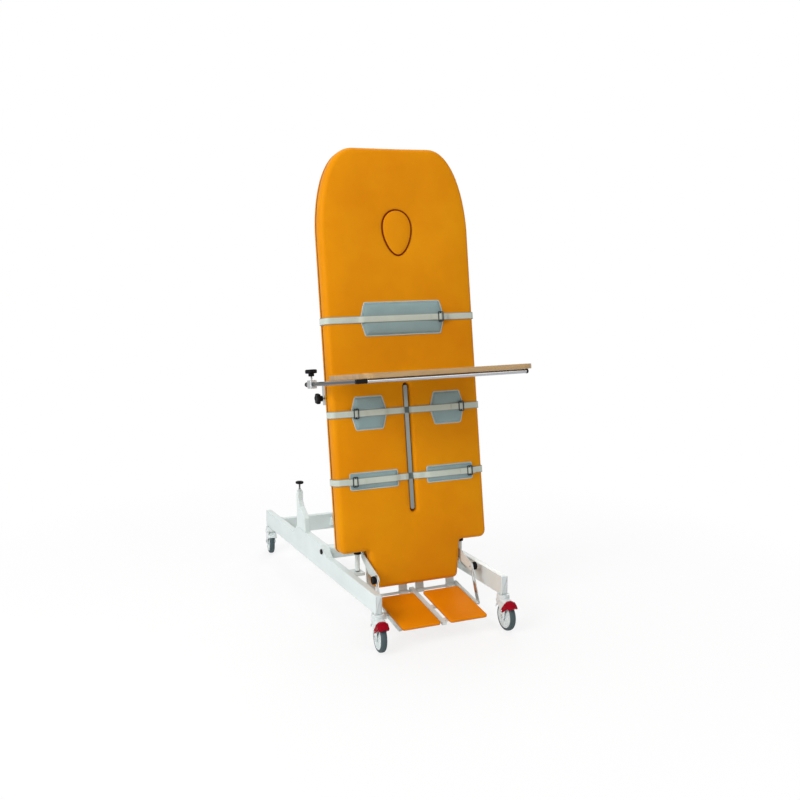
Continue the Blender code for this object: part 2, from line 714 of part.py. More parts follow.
def build_castor(root, name, x, y, turn, braked, plastic, tyre_mat, red):
    stem = empty("castor_" + name, root, (x, y, 0), turn_z=turn)
    top = CASTOR_HEIGHT - CLEAR
    crown = 2 * WHEEL_RADIUS + CROWN_GAP
    leg = FORK_GAP / 2
    outer = leg + FORK_LEG
    axle = (-CASTOR_TRAIL, WHEEL_RADIUS)
    head = turned("z", [(0, crown), (SWIVEL_RADIUS, crown), (SWIVEL_RADIUS, top - 0.010),
                        (SWIVEL_RADIUS - 0.003, top - 0.007), (SWIVEL_RADIUS - 0.003, top), (0, top)], ROUND)
    hood = prism("x", [(0.022, crown), (0.022, crown + 0.010), (-0.040, crown + 0.010), (-0.052, crown)],
                 -outer, outer)
    legs = []
    for side in (-1, 1):
        low_x, high_x = sorted((side * leg, side * outer))
        outline = tapered_link(axle, 0.014, (-0.013, crown + 0.006), 0.032)
        legs.append(prism("x", outline, low_x, high_x))
    pin_half = outer + 0.001
    pins = [rod("x", AXLE_RADIUS, -pin_half, pin_half, axle)]
    pivot = (-CASTOR_TRAIL, WHEEL_RADIUS + PEDAL_PIVOT_RISE)
    for side in (-1, 1) if braked else ():
        low_x, high_x = sorted((side * (outer - 0.001), side * (outer + 0.004)))
        pins.append(rod("x", PEDAL_PIN_RADIUS, low_x, high_x, pivot))
    piece("castor_fork_" + name, hood, plastic, stem, adds=[head] + legs + pins)

    hub = HUB_WIDTH / 2
    web = TYRE_WIDTH / 2 - 0.003
    bore = AXLE_RADIUS + RUN_CLEAR
    rim = WHEEL_RADIUS - TYRE_DEPTH
    wheel = [(bore, -hub), (0.015, -hub), (0.018, -web), (rim - 0.002, -web - 0.001), (rim, -web),
             (rim, web), (rim - 0.002, web + 0.001), (0.018, web), (0.015, hub), (bore, hub)]
    shift = (0, -CASTOR_TRAIL, WHEEL_RADIUS)
    piece("castor_wheel_" + name, turned("x", wheel, WHEEL_ROUND), plastic, stem, shift)
    half = TYRE_WIDTH / 2
    seat = rim + CLEAR
    tyre = [(seat, -half + 0.001), (seat + 0.005, -half), (WHEEL_RADIUS - 0.003, -half + 0.002),
            (WHEEL_RADIUS, -half + 0.006), (WHEEL_RADIUS, half - 0.006), (WHEEL_RADIUS - 0.003, half - 0.002),
            (seat + 0.005, half), (seat, half - 0.001)]
    piece("castor_tyre_" + name, turned("x", tyre, WHEEL_ROUND), tyre_mat, stem, shift)
    if braked:
        build_pedal(stem, name, outer, red)


def build_pedal(stem, name, fork_half, red):
    """Brake pedal that rides over the wheel and turns on the fork's two pins above the axle."""
    inner = WHEEL_RADIUS + PEDAL_GAP
    outer = inner + PEDAL_THICKNESS
    axle = (0, -PEDAL_PIVOT_RISE)
    lift = radians(PEDAL_LIFT)
    start = pi - lift - radians(PEDAL_SWEEP)
    sweep = radians(PEDAL_SWEEP)
    arc_out = circle(outer, 8, axle, start, sweep)
    lip_reach = outer + PEDAL_LIP
    lip = []
    for turn in (lift + radians(5), lift):
        lip.append((-lip_reach * cos(turn), lip_reach * sin(turn) - PEDAL_PIVOT_RISE))
    arc_in = circle(inner, 8, axle, start, sweep)
    cheek_in = fork_half + 2 * CLEAR
    cheek_out = cheek_in + 0.003
    shell = prism("x", arc_out + lip + list(reversed(arc_in)), -cheek_out, cheek_out)
    cheeks = []
    for side in (-1, 1):
        low_x, high_x = sorted((side * cheek_in, side * cheek_out))
        fan = circle(inner + 0.002, 6, axle, start + radians(4), sweep - radians(10))
        boss = circle(PEDAL_BOSS_RADIUS, 9, (0, 0), radians(235), pi)
        cheeks.append(prism("x", fan + boss, low_x, high_x))
    bore = rod("x", PEDAL_PIN_RADIUS + CLEAR, -cheek_out - 0.01, cheek_out + 0.01)
    shift = (0, -CASTOR_TRAIL, WHEEL_RADIUS + PEDAL_PIVOT_RISE)
    piece("brake_pedal_" + name, shell, red, stem, shift, adds=cheeks, cuts=[bore])


def build_bed_frame(bed, paint, wood):
    rail_foot = SHOULDER_Z
    rail_head = FOOT_Z + RAIL_HEAD
    inner = RAIL_CENTRE - RAIL_WIDTH / 2
    outer = RAIL_CENTRE + RAIL_WIDTH / 2
    for name, side in (("left", -1), ("right", 1)):
        low_x, high_x = sorted((side * inner, side * outer))
        rail = box((low_x, RAIL_FRONT_Y, rail_foot), (high_x, RAIL_BACK_Y, rail_head), 0.003, 2)
        piece("bed_rail_" + name, rail, paint, bed)
    span = inner - CLEAR
    lower = box((-span, RAIL_FRONT_Y, rail_foot), (span, RAIL_BACK_Y, rail_foot + TUBE_WIDTH), 0.003, 2)
    piece("lower_cross_tube", lower, paint, bed)
    height = FOOT_Z + UPPER_TUBE_HEIGHT
    upper = box((-span, RAIL_FRONT_Y, height), (span, RAIL_BACK_Y, height + TUBE_WIDTH), 0.003, 2)
    piece("upper_cross_tube", upper, paint, bed)

    low = PIVOT_TUBE_RISE
    tube = box((-span, RAIL_FRONT_Y, low), (span, RAIL_BACK_Y, low + TUBE_WIDTH), 0.003, 2)
    links = []
    for side in (-1, 1):
        near = side * PIVOT_ARM_CENTRE - PIVOT_ARM_THICKNESS / 2
        outline = tapered_link((0, 0), PIVOT_ARM_RADIUS, (RAIL_BACK_Y - 0.010, low + TUBE_WIDTH / 2), 0.036, 11)
        links.append(prism("x", outline, near, near + PIVOT_ARM_THICKNESS))
        lug_near = side * (EYE_WIDTH / 2 + CLEAR)
        low_x, high_x = sorted((lug_near, lug_near + side * LUG_THICKNESS))
        lug = tapered_link((RAIL_BACK_Y + LUG_BACK, LUG_RISE), LUG_RADIUS,
                           (RAIL_BACK_Y - 0.010, low + TUBE_WIDTH / 2 + 0.020), 0.034, 13)
        links.append(prism("x", lug, low_x, high_x))
    bore = rod("x", SHAFT_RADIUS + RUN_CLEAR, -BEAM_INNER, BEAM_INNER, (0, 0), ROUND)
    piece("pivot_cross_tube", tube, paint, bed, adds=links, cuts=[bore])

    board = prism("y", raised(whole_outline(BOARD_INSET)), BOARD_FRONT_Y, BOARD_BACK_Y)
    hole = prism("y", raised(egg(0.008)), BOARD_FRONT_Y - 0.01, BOARD_BACK_Y + 0.01)
    piece("bed_board", board, wood, bed, cuts=[hole])


def build_upholstery(bed, vinyl, steel, webbing_mat):
    slot = rounded_rectangle((-SLOT_WIDTH / 2, SLOT_FOOT), (SLOT_WIDTH / 2, SLOT_HEAD), SLOT_WIDTH / 2 - 0.0005, 5)
    slot_cut = prism("y", raised(slot), FACE_Y - 0.02, BACK_Y + 0.02)
    hole_cut = prism("y", raised(egg()), FACE_Y - 0.02, BACK_Y + 0.02)
    piece("mattress", cushion(), vinyl, bed, cuts=[slot_cut, hole_cut])
    piece("face_plug", plug(), vinyl, bed)

    half = BAR_WIDTH / 2
    bar = rounded_rectangle((-half, SLOT_FOOT + BAR_END_GAP), (half, SLOT_HEAD - BAR_END_GAP), half - 0.0005, 5)
    front = FACE_Y + BAR_DEPTH
    plate = prism("y", raised(bar), front, front + BAR_THICKNESS, 0.001)
    legs = []
    for share in (0.12, 0.60, 0.88):
        middle = FOOT_Z + SLOT_FOOT + share * (SLOT_HEAD - SLOT_FOOT)
        legs.append(box((-0.007, front + BAR_THICKNESS / 2, middle - 0.02), (0.007, BACK_Y, middle + 0.02)))
    piece("leg_strap_bar", plate, steel, bed, adds=legs)

    piece("chest_strap", chest_band(CHEST_STRAP_HEIGHT), webbing_mat, bed,
          adds=[pad(0, CHEST_PAD_WIDTH, CHEST_PAD_HEIGHT, CHEST_STRAP_HEIGHT, True)])
    tail_x = SLOT_WIDTH / 2 - SOFT_CLEAR
    for name, side in (("left", -1), ("right", 1)):
        mirrored = side == -1
        thigh = webbing(tail_x, THIGH_STRAP_HEIGHT, mirrored, True)
        thigh_pad = pad(side * THIGH_PAD_CENTRE, THIGH_PAD_WIDTH, THIGH_PAD_HEIGHT, THIGH_STRAP_HEIGHT, True)
        piece("thigh_strap_" + name, thigh, webbing_mat, bed, adds=[thigh_pad])
        ankle = webbing(tail_x, ANKLE_STRAP_HEIGHT, mirrored, True)
        ankle_pad = pad(side * ANKLE_PAD_CENTRE, ANKLE_PAD_WIDTH, ANKLE_PAD_HEIGHT, ANKLE_STRAP_HEIGHT, False)
        piece("ankle_strap_" + name, ankle, webbing_mat, bed, adds=[ankle_pad])


def knob_profile(radius, stem_length, hub_length, thickness, stem_radius):
    """Star knob seen along its axis: screw, hub and lobed grip, from the face it bears on."""
    hub = stem_length + hub_length
    top = hub + thickness
    return [(0, 0), (stem_radius, 0), (stem_radius, stem_length), (KNOB_HUB_RADIUS, stem_length),
            (KNOB_HUB_RADIUS, hub), (radius - 0.003, hub), (radius, hub + 0.004), (radius, top - 0.005),
            (radius - 0.004, top), (0, top)]


def star_knob(axis, radius, stem_length, direction=1, hub_length=KNOB_HUB_LENGTH, thickness=KNOB_THICKNESS,
              stem_radius=KNOB_SCREW_RADIUS):
    profile = [(r, direction * h) for r, h in knob_profile(radius, stem_length, hub_length, thickness, stem_radius)]
    return turned(axis, profile, 30, lobes=6, depth=0.06)


def build_work_table(bed, steel, chrome, wood, black):
    rail_y = BOARD_BACK_Y + CLEAR + SIDE_RAIL_WIDTH / 2 + CLAMP_WALL
    half_x = SIDE_RAIL_THICKNESS / 2
    half_y = SIDE_RAIL_WIDTH / 2
    bar = box((SIDE_RAIL_X - half_x, rail_y - half_y, FOOT_Z + SIDE_RAIL_FOOT),
              (SIDE_RAIL_X + half_x, rail_y + half_y, FOOT_Z + SIDE_RAIL_HEAD), 0.001)
    spacers = []
    for height in (SIDE_RAIL_FOOT + SIDE_RAIL_INSET, SIDE_RAIL_HEAD - SIDE_RAIL_INSET):
        spacers.append(rod("x", 0.008, SIDE_RAIL_X, -RAIL_CENTRE - RAIL_WIDTH / 2 - CLEAR,
                           (rail_y, FOOT_Z + height)))
    piece("side_rail", bar, steel, bed, adds=spacers)

    arm_y = FACE_Y - ARM_BLOCK_REACH
    arm_z = FOOT_Z + TRAY_HEIGHT
    near_x = SIDE_RAIL_X + half_x + 0.004
    far_x = SIDE_RAIL_X - half_x - CLAMP_WALL
    collar = box((far_x, rail_y - half_y - CLAMP_WALL * 0.8, arm_z - CLAMP_DROP - CLAMP_HALF),
                 (near_x, rail_y + half_y + CLAMP_WALL * 0.8, arm_z + TRAY_TUBE_RADIUS), 0.002)
    gap = box((SIDE_RAIL_X - half_x - CLEAR, rail_y - half_y - CLEAR, FOOT_Z),
              (SIDE_RAIL_X + half_x + CLEAR, rail_y + half_y + CLEAR, FOOT_Z + SIDE_RAIL_HEAD))
    block = box((ARM_X - ARM_BLOCK_WIDTH / 2, arm_y - ARM_BLOCK_LENGTH / 2, arm_z - ARM_BLOCK_HEIGHT / 2),
                (ARM_X + ARM_BLOCK_WIDTH / 2, arm_y + ARM_BLOCK_LENGTH / 2, arm_z + ARM_BLOCK_HEIGHT / 2), 0.002)
    neck = box((ARM_X, rail_y - 0.012, arm_z - TRAY_TUBE_RADIUS),
               (far_x + 0.004, rail_y + 0.012, arm_z + TRAY_TUBE_RADIUS))
    bore = rod("y", TRAY_TUBE_RADIUS + RUN_CLEAR, arm_y - 0.1, arm_y + 0.1, (ARM_X, arm_z), ROUND)
    piece("tray_clamp", collar, steel, bed, adds=[block, neck], cuts=[gap, bore])

    reach_top = arm_z + ARM_BLOCK_HEIGHT / 2 + CLEAR
    piece("reach_knob", star_knob("z", KNOB_RADIUS, 0.014), black, bed, (ARM_X, arm_y, reach_top))
    side_face = far_x - CLEAR
    piece("height_knob", star_knob("x", KNOB_RADIUS - 0.002, 0.007, -1), black, bed,
          (side_face, rail_y, arm_z - CLAMP_DROP))

    rail_reach = FACE_Y - FRONT_RAIL_REACH
    tube = TRAY_TUBE_RADIUS
    corner_low = ARM_X - tube
    corner_high = corner_low + CORNER_LENGTH
    corner = box((corner_low, rail_reach - tube, arm_z - tube), (corner_high, rail_reach + tube, arm_z + tube), 0.003, 2)
    piece("rail_corner", corner, black, bed)
    piece("side_arm", rod("y", tube, rail_reach + tube + CLEAR, FACE_Y - ARM_REAR, (ARM_X, arm_z), ROUND, 0.001),
          chrome, bed)
    piece("front_rail", rod("x", tube, corner_high + CLEAR, FRONT_RAIL_END, (rail_reach, arm_z), ROUND, 0.001),
          chrome, bed)
    low = arm_z + tube + CLEAR
    top = rounded_rectangle((-BOARD_TOP_WIDTH / 2, FACE_Y - BOARD_TOP_FRONT),
                            (BOARD_TOP_WIDTH / 2, FACE_Y - BOARD_TOP_REAR), BOARD_TOP_CORNER, 7)
    piece("work_board", prism("z", top, low, low + BOARD_TOP_THICKNESS, 0.002, 2), wood, bed)


def build_foot_rest(bed, paint, vinyl, steel, black):
    hinge_y = FACE_Y + HINGE_BACK
    hinge_z = FOOT_Z - HINGE_DROP
    stem_front = hinge_y - STEM_THICKNESS / 2
    stem_back = hinge_y + STEM_THICKNESS / 2
    stem_top = SHOULDER_Z - CLEAR
    outer_x = OUTER_STEM_X + STEM_WIDTH / 2
    bar = box((-outer_x, stem_front, stem_top - 0.030), (outer_x, stem_back + 0.012, stem_top))
    stems = []
    for x in (-OUTER_STEM_X, -INNER_STEM_X, INNER_STEM_X, OUTER_STEM_X):
        half = STEM_WIDTH / 2
        stems.append(box((x - half, stem_front, hinge_z), (x + half, stem_back, stem_top - 0.015)))
        knuckle_radius = HINGE_ROD_RADIUS + 0.005
        stems.append(rod("x", knuckle_radius, x - half, x + half, (hinge_y, hinge_z)))
    knob_y = FACE_Y - KNOB_FORWARD
    knob_z = FOOT_Z + KNOB_RISE
    bracket_out = BRACKET_X + BRACKET_THICKNESS
    brackets = []
    for side in (-1, 1):
        low_x, high_x = sorted((side * BRACKET_X, side * bracket_out))
        brackets.append(prism("x", bracket_outline(knob_y, knob_z, stem_front, stem_top), low_x, high_x))
        low_x, high_x = sorted((side * (outer_x - 0.004), side * (BRACKET_X + 0.001)))
        brackets.append(box((low_x, stem_front + 0.001, stem_top - 0.028), (high_x, stem_back + 0.010, stem_top - 0.004)))
    bores = [rod("x", HINGE_ROD_RADIUS + RUN_CLEAR, -bracket_out - 0.02, bracket_out + 0.02, (hinge_y, hinge_z))]
    for side in (-1, 1):
        low_x, high_x = sorted((side * (BRACKET_X - 0.01), side * (bracket_out + 0.01)))
        bores.append(rod("x", FOOT_STUD_RADIUS + RUN_CLEAR, low_x, high_x, (knob_y, knob_z), 12))
    piece("foot_hanger", bar, paint, bed, adds=stems + brackets, cuts=bores)

    hinge = empty("foot_hinge", bed, (0, hinge_y, hinge_z), turn_x=FOOT_ANGLE)
    build_foot_frame(hinge, bracket_out, steel, paint)
    low = HINGE_ROD_RADIUS + FOOT_ARM_DEPTH + CLEAR
    for name, side in (("left", -1), ("right", 1)):
        near = side * FOOT_PLATE_GAP / 2
        low_x, high_x = sorted((near, near + side * FOOT_PLATE_WIDTH))
        outline = rounded_rectangle((low_x, -FOOT_PLATE_REAR - FOOT_PLATE_LENGTH), (high_x, -FOOT_PLATE_REAR),
                                    FOOT_PLATE_CORNER, 5)
        plate = prism("z", outline, low, low + FOOT_PLATE_THICKNESS, FOOT_PLATE_THICKNESS * 0.3, 2)
        piece("foot_plate_" + name, plate, vinyl, hinge)

    build_struts(bed, hinge_y, hinge_z, knob_y, knob_z, bracket_out, steel, black)


def bracket_outline(knob_y, knob_z, back, top):
    """Boomerang side plate: from behind the tongue forwards and down to the clamping knob."""
    bend_y = FACE_Y - 0.004
    bend_z = FOOT_Z + TONGUE_LENGTH * 0.62
    end = circle(0.017, 7, (knob_y, knob_z), radians(125), pi)
    return end + [(bend_y + 0.030, bend_z - 0.032), (back + 0.012, top - 0.034), (back + 0.012, top - 0.002),
                  (bend_y + 0.020, bend_z + 0.014)]


def build_foot_frame(hinge, bracket_out, steel, paint):
    """Hinge rod with three arms, and two deep side arms on cross bars under the foot plates."""
    reach = FOOT_PLATE_REAR + FOOT_PLATE_LENGTH - 0.012
    side_reach = STRUT_PIN_REACH + 0.012
    under = HINGE_ROD_RADIUS
    over = under + FOOT_ARM_DEPTH
    outer = bracket_out
    spine = rod("x", HINGE_ROD_RADIUS, -outer, outer)
    arms = []
    for low_x, high_x, end in ((-outer, -outer + FOOT_ARM_WIDTH, side_reach), (-0.010, 0.010, reach),
                               (outer - FOOT_ARM_WIDTH, outer, side_reach)):
        profile = [(HINGE_ROD_RADIUS, 0.0), (HINGE_ROD_RADIUS, over), (-end, over), (-end, under),
                   (-0.030, under), (-0.012, -HINGE_ROD_RADIUS + 0.001), (0.0, -HINGE_ROD_RADIUS + 0.001)]
        arms.append(prism("x", profile, low_x, high_x))
    for side in (-1, 1):
        low_x, high_x = sorted((side * SIDE_ARM_X, side * (SIDE_ARM_X + SIDE_ARM_WIDTH)))
        arms.append(box((low_x, -SIDE_ARM_REACH, over - SIDE_ARM_DEPTH), (high_x, -SIDE_ARM_REAR, over)))
    bar_end = SIDE_ARM_X + SIDE_ARM_WIDTH / 2
    for y, half in ((-reach + 0.030, bar_end), (-side_reach + 0.030, outer - 0.002)):
        arms.append(box((-half, y - 0.010, under + 0.001), (half, y + 0.010, over)))
    pins = []
    middle = under + FOOT_ARM_DEPTH / 2
    for side in (-1, 1):
        head = side * (outer + CLEAR + STRUT_THICKNESS + CLEAR)
        low_x, high_x = sorted((side * (outer - 0.004), head + side * 0.001))
        pins.append(rod("x", STRUT_PIN_RADIUS, low_x, high_x, (-STRUT_PIN_REACH, middle)))
        low_x, high_x = sorted((head, head + side * 0.003))
        pins.append(rod("x", STRUT_PIN_RADIUS + 0.003, low_x, high_x, (-STRUT_PIN_REACH, middle)))
    piece("foot_frame", spine, paint, hinge, adds=arms + pins)


def build_struts(bed, hinge_y, hinge_z, knob_y, knob_z, bracket_out, steel, black):
    """Slotted struts pinned to the foot frame's arms and clamped under the knobs."""
    middle = HINGE_ROD_RADIUS + FOOT_ARM_DEPTH / 2
    pin_y = hinge_y - STRUT_PIN_REACH * cos(FOOT_ANGLE) - middle * sin(FOOT_ANGLE)
    pin_z = hinge_z - STRUT_PIN_REACH * sin(FOOT_ANGLE) + middle * cos(FOOT_ANGLE)
    length = hypot(knob_y - pin_y, knob_z - pin_z)
    turn = atan2(knob_z - pin_z, knob_y - pin_y) - pi / 2
    half = STRUT_WIDTH / 2
    end = length + half
    outline = circle(half, 9, (0, 0), pi, pi) + circle(half, 9, (0, end - half + 0.008), 0, pi)
    slot_half = STRUT_SLOT_WIDTH / 2
    slot_high = length + 0.004
    slot_low = length - STRUT_SLOT_LENGTH
    slot = circle(slot_half, 9, (0, slot_low), pi, pi) + circle(slot_half, 9, (0, slot_high), 0, pi)
    for name, side in (("left", -1), ("right", 1)):
        pivot = empty("strut_pin_" + name, bed, (0, pin_y, pin_z), turn_x=turn)
        near = side * (bracket_out + CLEAR)
        low_x, high_x = sorted((near, near + side * STRUT_THICKNESS))
        cuts = [prism("x", slot, low_x - 0.01, high_x + 0.01),
                rod("x", STRUT_PIN_RADIUS + RUN_CLEAR, low_x - 0.01, high_x + 0.01)]
        piece("foot_strut_" + name, prism("x", outline, low_x, high_x), steel, pivot, cuts=cuts)
        start = BRACKET_X - FOOT_STUD_TAIL
        stem = bracket_out + STRUT_THICKNESS + 3 * CLEAR + 0.001 - start
        knob = star_knob("x", FOOT_KNOB_RADIUS, stem, side, FOOT_KNOB_HUB, FOOT_KNOB_THICKNESS, FOOT_STUD_RADIUS)
        piece("foot_knob_" + name, knob, black, bed, (side * start, knob_y, knob_z))


def build_actuator(root, grey, steel):
    """Linear actuator from the rear cross member to the lugs of the bed frame."""
    eye_y = RAIL_BACK_Y + LUG_BACK
    far_y = PIVOT_Y + eye_y * cos(LEAN) + LUG_RISE * sin(LEAN)
    far_z = PIVOT_Z - eye_y * sin(LEAN) + LUG_RISE * cos(LEAN)
    length = hypot(far_y - ACTUATOR_PIN_Y, far_z - ACTUATOR_PIN_Z)
    turn = atan2(ACTUATOR_PIN_Z - far_z, ACTUATOR_PIN_Y - far_y)
    base = empty("actuator_pin", root, (0, ACTUATOR_PIN_Y, ACTUATOR_PIN_Z), turn_x=turn)
    half = EYE_WIDTH / 2
    eye = rod("x", EYE_RADIUS, -half, half, count=ROUND)
    tube = rod("y", ACTUATOR_TUBE_RADIUS, -ACTUATOR_TUBE_LENGTH, -0.030, count=ROUND)
    gearbox = box((-0.030, -0.100, -0.088), (0.030, -0.026, 0.028), 0.006, 2)
    neck = box((-half, -0.040, -EYE_RADIUS), (half, 0, EYE_RADIUS))
    motor = rod("y", MOTOR_RADIUS, -0.090 - MOTOR_LENGTH, -0.090, (0, -0.052), ROUND, 0.004)
    pin_bore = rod("x", SHAFT_RADIUS / 2 + RUN_CLEAR, -0.05, 0.05)
    depth = ACTUATOR_OVERLAP + ACTUATOR_TRAVEL + 0.02
    bore = rod("y", ACTUATOR_ROD_RADIUS + RUN_CLEAR, -ACTUATOR_TUBE_LENGTH - 0.02,
               -ACTUATOR_TUBE_LENGTH + depth, count=ROUND)
    piece("actuator_body", tube, grey, base, adds=[gearbox, neck, eye, motor], cuts=[pin_bore, bore])
    shaft = rod("y", ACTUATOR_ROD_RADIUS, -length, -ACTUATOR_TUBE_LENGTH + ACTUATOR_OVERLAP, count=ROUND)
    rod_eye = rod("x", EYE_RADIUS + 0.002, -half, half, (-length, 0), ROUND)
    piece("actuator_rod", shaft, steel, base, adds=[rod_eye])


def centre_on_floor(root):
    """Move the root so that the whole object's bounding box is centred over the origin."""
    bpy.context.view_layer.update()
    corners = []
    for obj in bpy.data.objects:
        if obj.type == "MESH":
            corners += [obj.matrix_world @ vert.co for vert in obj.data.vertices]
    for axis in (0, 1):
        values = [corner[axis] for corner in corners]
        root.location[axis] = -(min(values) + max(values)) / 2
    root.location[2] = -min(corner[2] for corner in corners)
    bpy.context.view_layer.update()


def build():
    clear_scene()
    paint = material("white_paint", (0.80, 0.84, 0.84), 0.35)
    vinyl = material("orange_vinyl", (0.80, 0.27, 0.01), 0.45)
    webbing_mat = material("grey_webbing", (0.36, 0.44, 0.48), 0.75)
    wood = material("beech_ply", (0.62, 0.42, 0.26), 0.50)
    steel = material("bright_steel", (0.55, 0.56, 0.56), 0.30, 1.0)
    chrome = material("chrome", (0.75, 0.76, 0.77), 0.10, 1.0)
    black = material("black_plastic", (0.02, 0.02, 0.02), 0.45)
    rubber = material("black_rubber", (0.03, 0.03, 0.03), 0.80)
    plastic = material("white_plastic", (0.72, 0.76, 0.76), 0.40)
    tyre_mat = material("grey_tyre", (0.06, 0.08, 0.09), 0.70)
    red = material("red_plastic", (0.55, 0.01, 0.03), 0.40)
    grey = material("grey_plastic", (0.20, 0.21, 0.22), 0.50)

    root = empty("floor_centre", None)
    build_base(root, paint, rubber, steel)
    for name, side, y, turn in (("front_left", -1, FRONT_CASTOR_Y, radians(-6)),
                                ("front_right", 1, FRONT_CASTOR_Y, 0.0),
                                ("rear_left", -1, REAR_CASTOR_Y, radians(170)),
                                ("rear_right", 1, REAR_CASTOR_Y, pi)):
        braked = y == FRONT_CASTOR_Y
        build_castor(root, name, side * BEAM_CENTRE, y, turn, braked, plastic, tyre_mat, red)
    bed = empty("tilt_axis", root, (0, PIVOT_Y, PIVOT_Z), turn_x=-LEAN)
    build_bed_frame(bed, paint, wood)
    build_upholstery(bed, vinyl, steel, webbing_mat)
    build_work_table(bed, steel, chrome, wood, black)
    build_foot_rest(bed, paint, vinyl, steel, black)
    build_actuator(root, grey, steel)
    centre_on_floor(root)


build()
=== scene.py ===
"""Looks of the standing tilt table: upholstery, straps, castors, knobs and finishes over its frame.

Metres, +Z up. Pieces on the bed are drawn in bed places: x across the bed, s up along it from the
foot end of the cushion, and t forwards from the cushion's face.
"""

from math import acos, atan2, cos, pi, radians, sin, sqrt

import bmesh
import bpy
import numpy as np
from mathutils import Matrix, Vector, noise
from mathutils.geometry import delaunay_2d_cdt


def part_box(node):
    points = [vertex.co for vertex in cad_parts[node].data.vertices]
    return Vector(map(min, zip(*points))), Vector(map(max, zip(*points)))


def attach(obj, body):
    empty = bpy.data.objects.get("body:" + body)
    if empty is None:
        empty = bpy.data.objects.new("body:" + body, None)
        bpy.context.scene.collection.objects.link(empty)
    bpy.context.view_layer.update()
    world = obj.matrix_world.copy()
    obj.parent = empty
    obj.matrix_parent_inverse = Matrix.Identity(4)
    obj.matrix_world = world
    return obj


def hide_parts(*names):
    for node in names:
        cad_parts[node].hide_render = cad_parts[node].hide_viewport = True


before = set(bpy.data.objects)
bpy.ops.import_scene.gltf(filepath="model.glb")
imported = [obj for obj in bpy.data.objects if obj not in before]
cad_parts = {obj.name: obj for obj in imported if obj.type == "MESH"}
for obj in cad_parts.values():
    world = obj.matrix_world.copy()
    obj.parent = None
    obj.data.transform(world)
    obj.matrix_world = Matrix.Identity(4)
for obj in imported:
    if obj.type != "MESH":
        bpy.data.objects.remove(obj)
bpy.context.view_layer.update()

# Where the bed stands, read from the frame
LEAN = radians(8.8)
beam_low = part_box("base_beam_left")[0]
cross_low, cross_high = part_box("mid_cross_member")
ORIGIN = Vector(((cross_low[0] + cross_high[0]) / 2, beam_low[1] + 0.232, beam_low[2] - 0.150))
BEAM_TOP = 0.230
SADDLE_TOP = 0.270
FOOT_HEIGHT = 0.168
PIVOT = ORIGIN + Vector((0, 0.300, 0.343))
BED = Matrix.Translation(ORIGIN + Vector((0, 0, FOOT_HEIGHT))) @ Matrix((
    (1, 0, 0, 0), (0, sin(LEAN), -cos(LEAN), 0), (0, cos(LEAN), sin(LEAN), 0), (0, 0, 0, 1)))
FACE_AXIS = (BED.to_3x3() @ Vector((0, 0, 1))).normalized()
UP_AXIS = (BED.to_3x3() @ Vector((0, 1, 0))).normalized()

# Cushion sizes
HALF_WIDTH = 0.350
LENGTH = 1.887
EDGE = 0.020
CROWN = 0.005
CROWN_REACH = 0.126
SHOULDER = 0.164
SLOT = (0.0152, 0.312, 0.875)
HOLE_CENTRE = 1.521
HOLE_HALF = (0.067, 0.098)
CUSHION_BACK = -0.0648

STRAPS = {"chest": 1.152, "thigh": 0.755, "ankle": 0.468}
WEBBING = (0.030, 0.002)
WEBBING_GAP = 0.0006
FACE_SINK = 0.0006
PAD_TOP = 0.0112
PAD_CORNER = 0.007

# Base, from the floor under the cushion's foot
BEAM_CENTRE = 0.291
BEAM_INNER = 0.2757
BASE_FRONT = -0.232
BASE_REAR = 1.222
POST_PLACE = (0.725, 0.448)
POST_FOOT = (0.0125, 0.6150, 0.7370)
RAIL_X = 0.280
RAIL_INNER = 0.2648

# Foot plates, from the hinge behind the cushion's foot
HINGE_BACK = 0.088
HINGE_DROP = 0.046
PLATE_RISE = radians(17.5)


# Finishes

